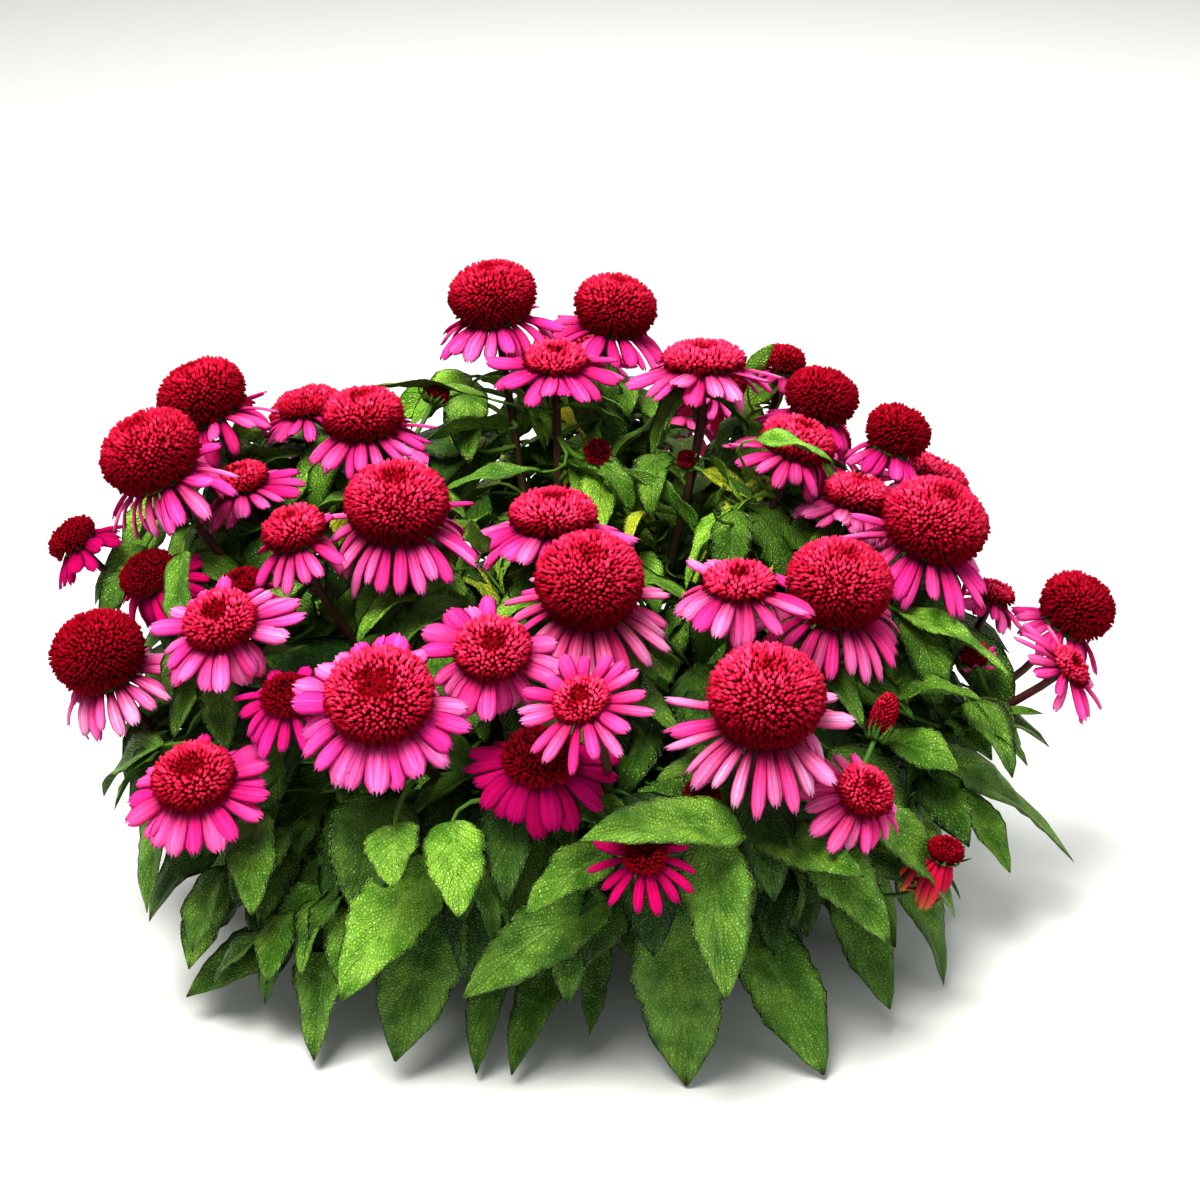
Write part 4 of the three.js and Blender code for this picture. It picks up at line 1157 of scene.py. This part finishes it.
def cone_bed(head, pitch, depth):
    """A cone's core, and a place for each floret, in spirals from the top down."""
    draw = draws(head.number)
    dome = Dome(head.radius, head.height)
    columns = {key: [] for key in ("facing", "size", "tint", "bright")}
    places = []

    def put(place, *values):
        places.append(place)
        for key, value in zip(columns, values):
            columns[key].append(value)

    rows, sides = 9, 20
    for i in range(rows):
        out, rise, *_ = dome.at(i / (rows - 0.35), 0.7 * depth)
        for k in range(sides):
            turn = 2 * math.pi * k / sides
            put(polar(out, turn, rise), UP, 0, 0.2, head.bright)
    faces = bands(0, rows, sides)
    faces += [list(reversed(range(sides))), list(range((rows - 1) * sides, rows * sides))]
    count = round(dome.area[-1] / (PACKING * pitch * pitch))
    flat = 1 - dome.squat
    for n in range(count):
        from_top = (n + 0.5) / count
        out, rise, away, up = dome.at(1 - from_top, depth)
        turn = n * GOLDEN_TURN + between(draw, -0.02, 0.02)
        facing = polar(away, turn, up)
        facing += Vector((between(draw, -0.2, 0.2), between(draw, -0.2, 0.2), between(draw, -0.12, 0.2)))
        opened = min(1, from_top / (0.04 + 0.18 * flat))
        shag = 0.45 * next(draw) * max(0, from_top - 0.72) / 0.28
        size = (depth + 0.3) * (0.6 + 0.4 * opened + shag) * between(draw, 0.82, 1.14)
        # The bloom's brightness and the florets' opening, with painted light from above: florets that face up
        # are brighter and turn from crimson to coral, those that face down darker.
        upright = (head.place.to_3x3() @ facing).z
        tone_and_light = head.bright * (0.2 + 0.8 * opened) * (0.4 + 1.25 * upright) * between(draw, 0.5, 1.5)
        tone_and_light -= min(1, 2.2 * flat) * between(draw, 0.1, 1.3) * (1 - opened)
        size *= 1 + 0.4 * next(draw) * (1 - opened)
        put(polar(out, turn, rise), facing, size, next(draw), tone_and_light)
    return seedbed("cone", places, (), faces, **columns)


floret_pattern = floret()
for head in heads:
    number = f"{head.number:02d}"
    split = f"bloom_{number}_rays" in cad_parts
    ray_node, cone_node = (f"bloom_{number}{part if split else ''}" for part in ("_rays", "_cone"))
    rays = grow(f"rays_{number}", ray_tree, ray_bed(head), head.place, Blade=ray_blade, Finish=ray_skin)
    settle(rays, ray_node)
    large = head.radius > 15
    pitch = 2.45 if large else 2.2
    bed = cone_bed(head, pitch, 5.2 if large else 3.8)
    cone = grow(f"cone_{number}", cone_tree, bed, head.place, Floret=floret_pattern, Girth=0.42 * pitch,
                Seed=head.number, Finish=floret_skin)
    settle(cone, cone_node)

# ---- Buds and a faded head ----
# Side branches end in small dark heads that have yet to open, in a cup of green bracts; the darkest
# are painted with shade. The first carries short young rays, and the third has faded, with withered rays.
# Middle x, y, z; radius and length; ray length and droop; how bright the florets are, below 0 for painted
# shade.
BUDS = [
    (198, -72, 168, 7, 12, 9, -30, 0.1),
    (149, -122, 160, 6.5, 24, 0, 0, 0.25),
    (180, -142, 98, 9, 11, 27, 130, 0.1),
    (60, -196, 158, 9, 13, 0, 0, -0.5),
    (12, 8, 243, 7, 11, 0, 0, -0.8),
    (-72, 54, 258, 7, 11, 0, 0, -0.7),
    (57, 18, 235, 5, 9, 0, 0, -0.8),
]
withered, tree, shader = material("withered ray", 0.8, specular=0.1)
tip_share = attribute(tree, "along") ** 6.0
dried = tip_share.blend((0.42, 0.003, 0.04, 1), (0.75, 0.3, 0.1, 1))
paint(tree, shader, dried)

cups, branches = Spray(), []
draw = draws(64)
for number, (x, y, z, radius, length, ray, droop, bright) in enumerate(BUDS, 1):
    middle = Vector((x, y, z))
    foot = nearest_on_stem(middle - UP * 12)
    axis = (middle - foot).normalized().lerp(UP, 0.8 if droop > 0 else 0.35).normalized()
    lean = math.degrees(axis.angle(UP))
    bearing = math.degrees(math.atan2(axis.y, axis.x))
    bud = Head(number + 60, (x, y, z, radius, length - 2, ray, droop, lean, bearing, bright, 0.3, 0.4))
    bend = bud.base - bud.axis * 0.4 * (bud.base - foot).length
    branches.append([foot, foot.lerp(bend, 0.5), bend, bud.base + bud.axis])
    for k in range(BRACTS):
        turn, rank = 360 * (k + 0.5 * next(draw)) / BRACTS, k % 2
        rib = [heading(turn) * 0.5 * radius, heading(turn) * 1.05 * radius + UP * (1 + rank),
               heading(turn, 10) * (1.1 + 0.35 * rank) * radius + UP * (0.32 * length)]
        cups.lay(rib[0], [bud.place @ p for p in rib], bud.place.to_3x3() @ heading(turn - 90), 3.6, 0, 0.5)
    cone = grow(f"bud_{number}", cone_tree, cone_bed(bud, 1.9, 2.4), bud.place, Floret=floret_pattern,
                Girth=0.8, Seed=number, Finish=floret_skin)
    settle(cone, "foliage")
    if ray:
        finish = withered if droop > 0 else ray_skin
        fringe = grow(f"bud_rays_{number}", ray_tree, ray_bed(bud), bud.place, Blade=ray_blade, Finish=finish)
        settle(fringe, "foliage")
settle(grow("bud_bracts", leaf_tree, cups.bed(), **bract_look), "foliage")
branch_bed = strand(branches, [(1.5, 1.3)] * len(BUDS), 10, [0.3] * len(BUDS))
bud_branches = grow("bud_branches", tube_tree, branch_bed, Sides=7, Finish=stalk_skin)
settle(bud_branches, "foliage")

# ---- Floor, light and camera ----
# A plain pale floor and three soft lights make a small studio. The camera looks down on the clump
# from the front.
floor_mesh = bpy.data.meshes.new("floor")
floor_mesh.from_pydata([(-8, -8, 0), (8, -8, 0), (8, 8, 0), (-8, 8, 0)], [], [(0, 1, 2, 3)])
floor = stand("floor", floor_mesh)
matte, tree, shader = material("floor paper", 0.9, specular=0.2)
shader.inputs["Base Color"].default_value = (0.72, 0.73, 0.7, 1)
floor_mesh.materials.append(matte)

world = bpy.data.worlds.new("studio")
world.use_nodes = True
world.node_tree.nodes["Background"].inputs["Color"].default_value = (0.98, 0.99, 1, 1)
world.node_tree.nodes["Background"].inputs["Strength"].default_value = 0.56
bpy.context.scene.world = world


def soft_light(name, where, size, watts, colour):
    light = bpy.data.lights.new(name, "AREA")
    light.size, light.energy, light.color = size, watts, colour
    made = stand(name, light)
    made.location = where
    made.rotation_euler = (Vector((0, 0, 0.15)) - Vector(where)).to_track_quat("-Z", "Y").to_euler()


soft_light("key", (-0.4, -0.8, 2.0), 1.0, 92, (1, 0.985, 0.96))
soft_light("fill", (1.6, -1.0, 1.0), 1.4, 9, (0.92, 0.96, 1))
soft_light("back", (0.3, 1.6, 1.6), 1.2, 20, (1, 1, 1))

lens = bpy.data.cameras.new("camera")
lens.lens, lens.sensor_width = 81, 36
camera = stand("camera", lens)
camera.location = (0.013, -1.269, 0.755)
aim = Vector((0.013, 0, 0.163)) - camera.location
camera.rotation_euler = aim.to_track_quat("-Z", "Y").to_euler()
bpy.context.scene.camera = camera

bpy.context.scene.view_settings.view_transform = "Standard"
bpy.context.scene.view_settings.gamma = 0.86
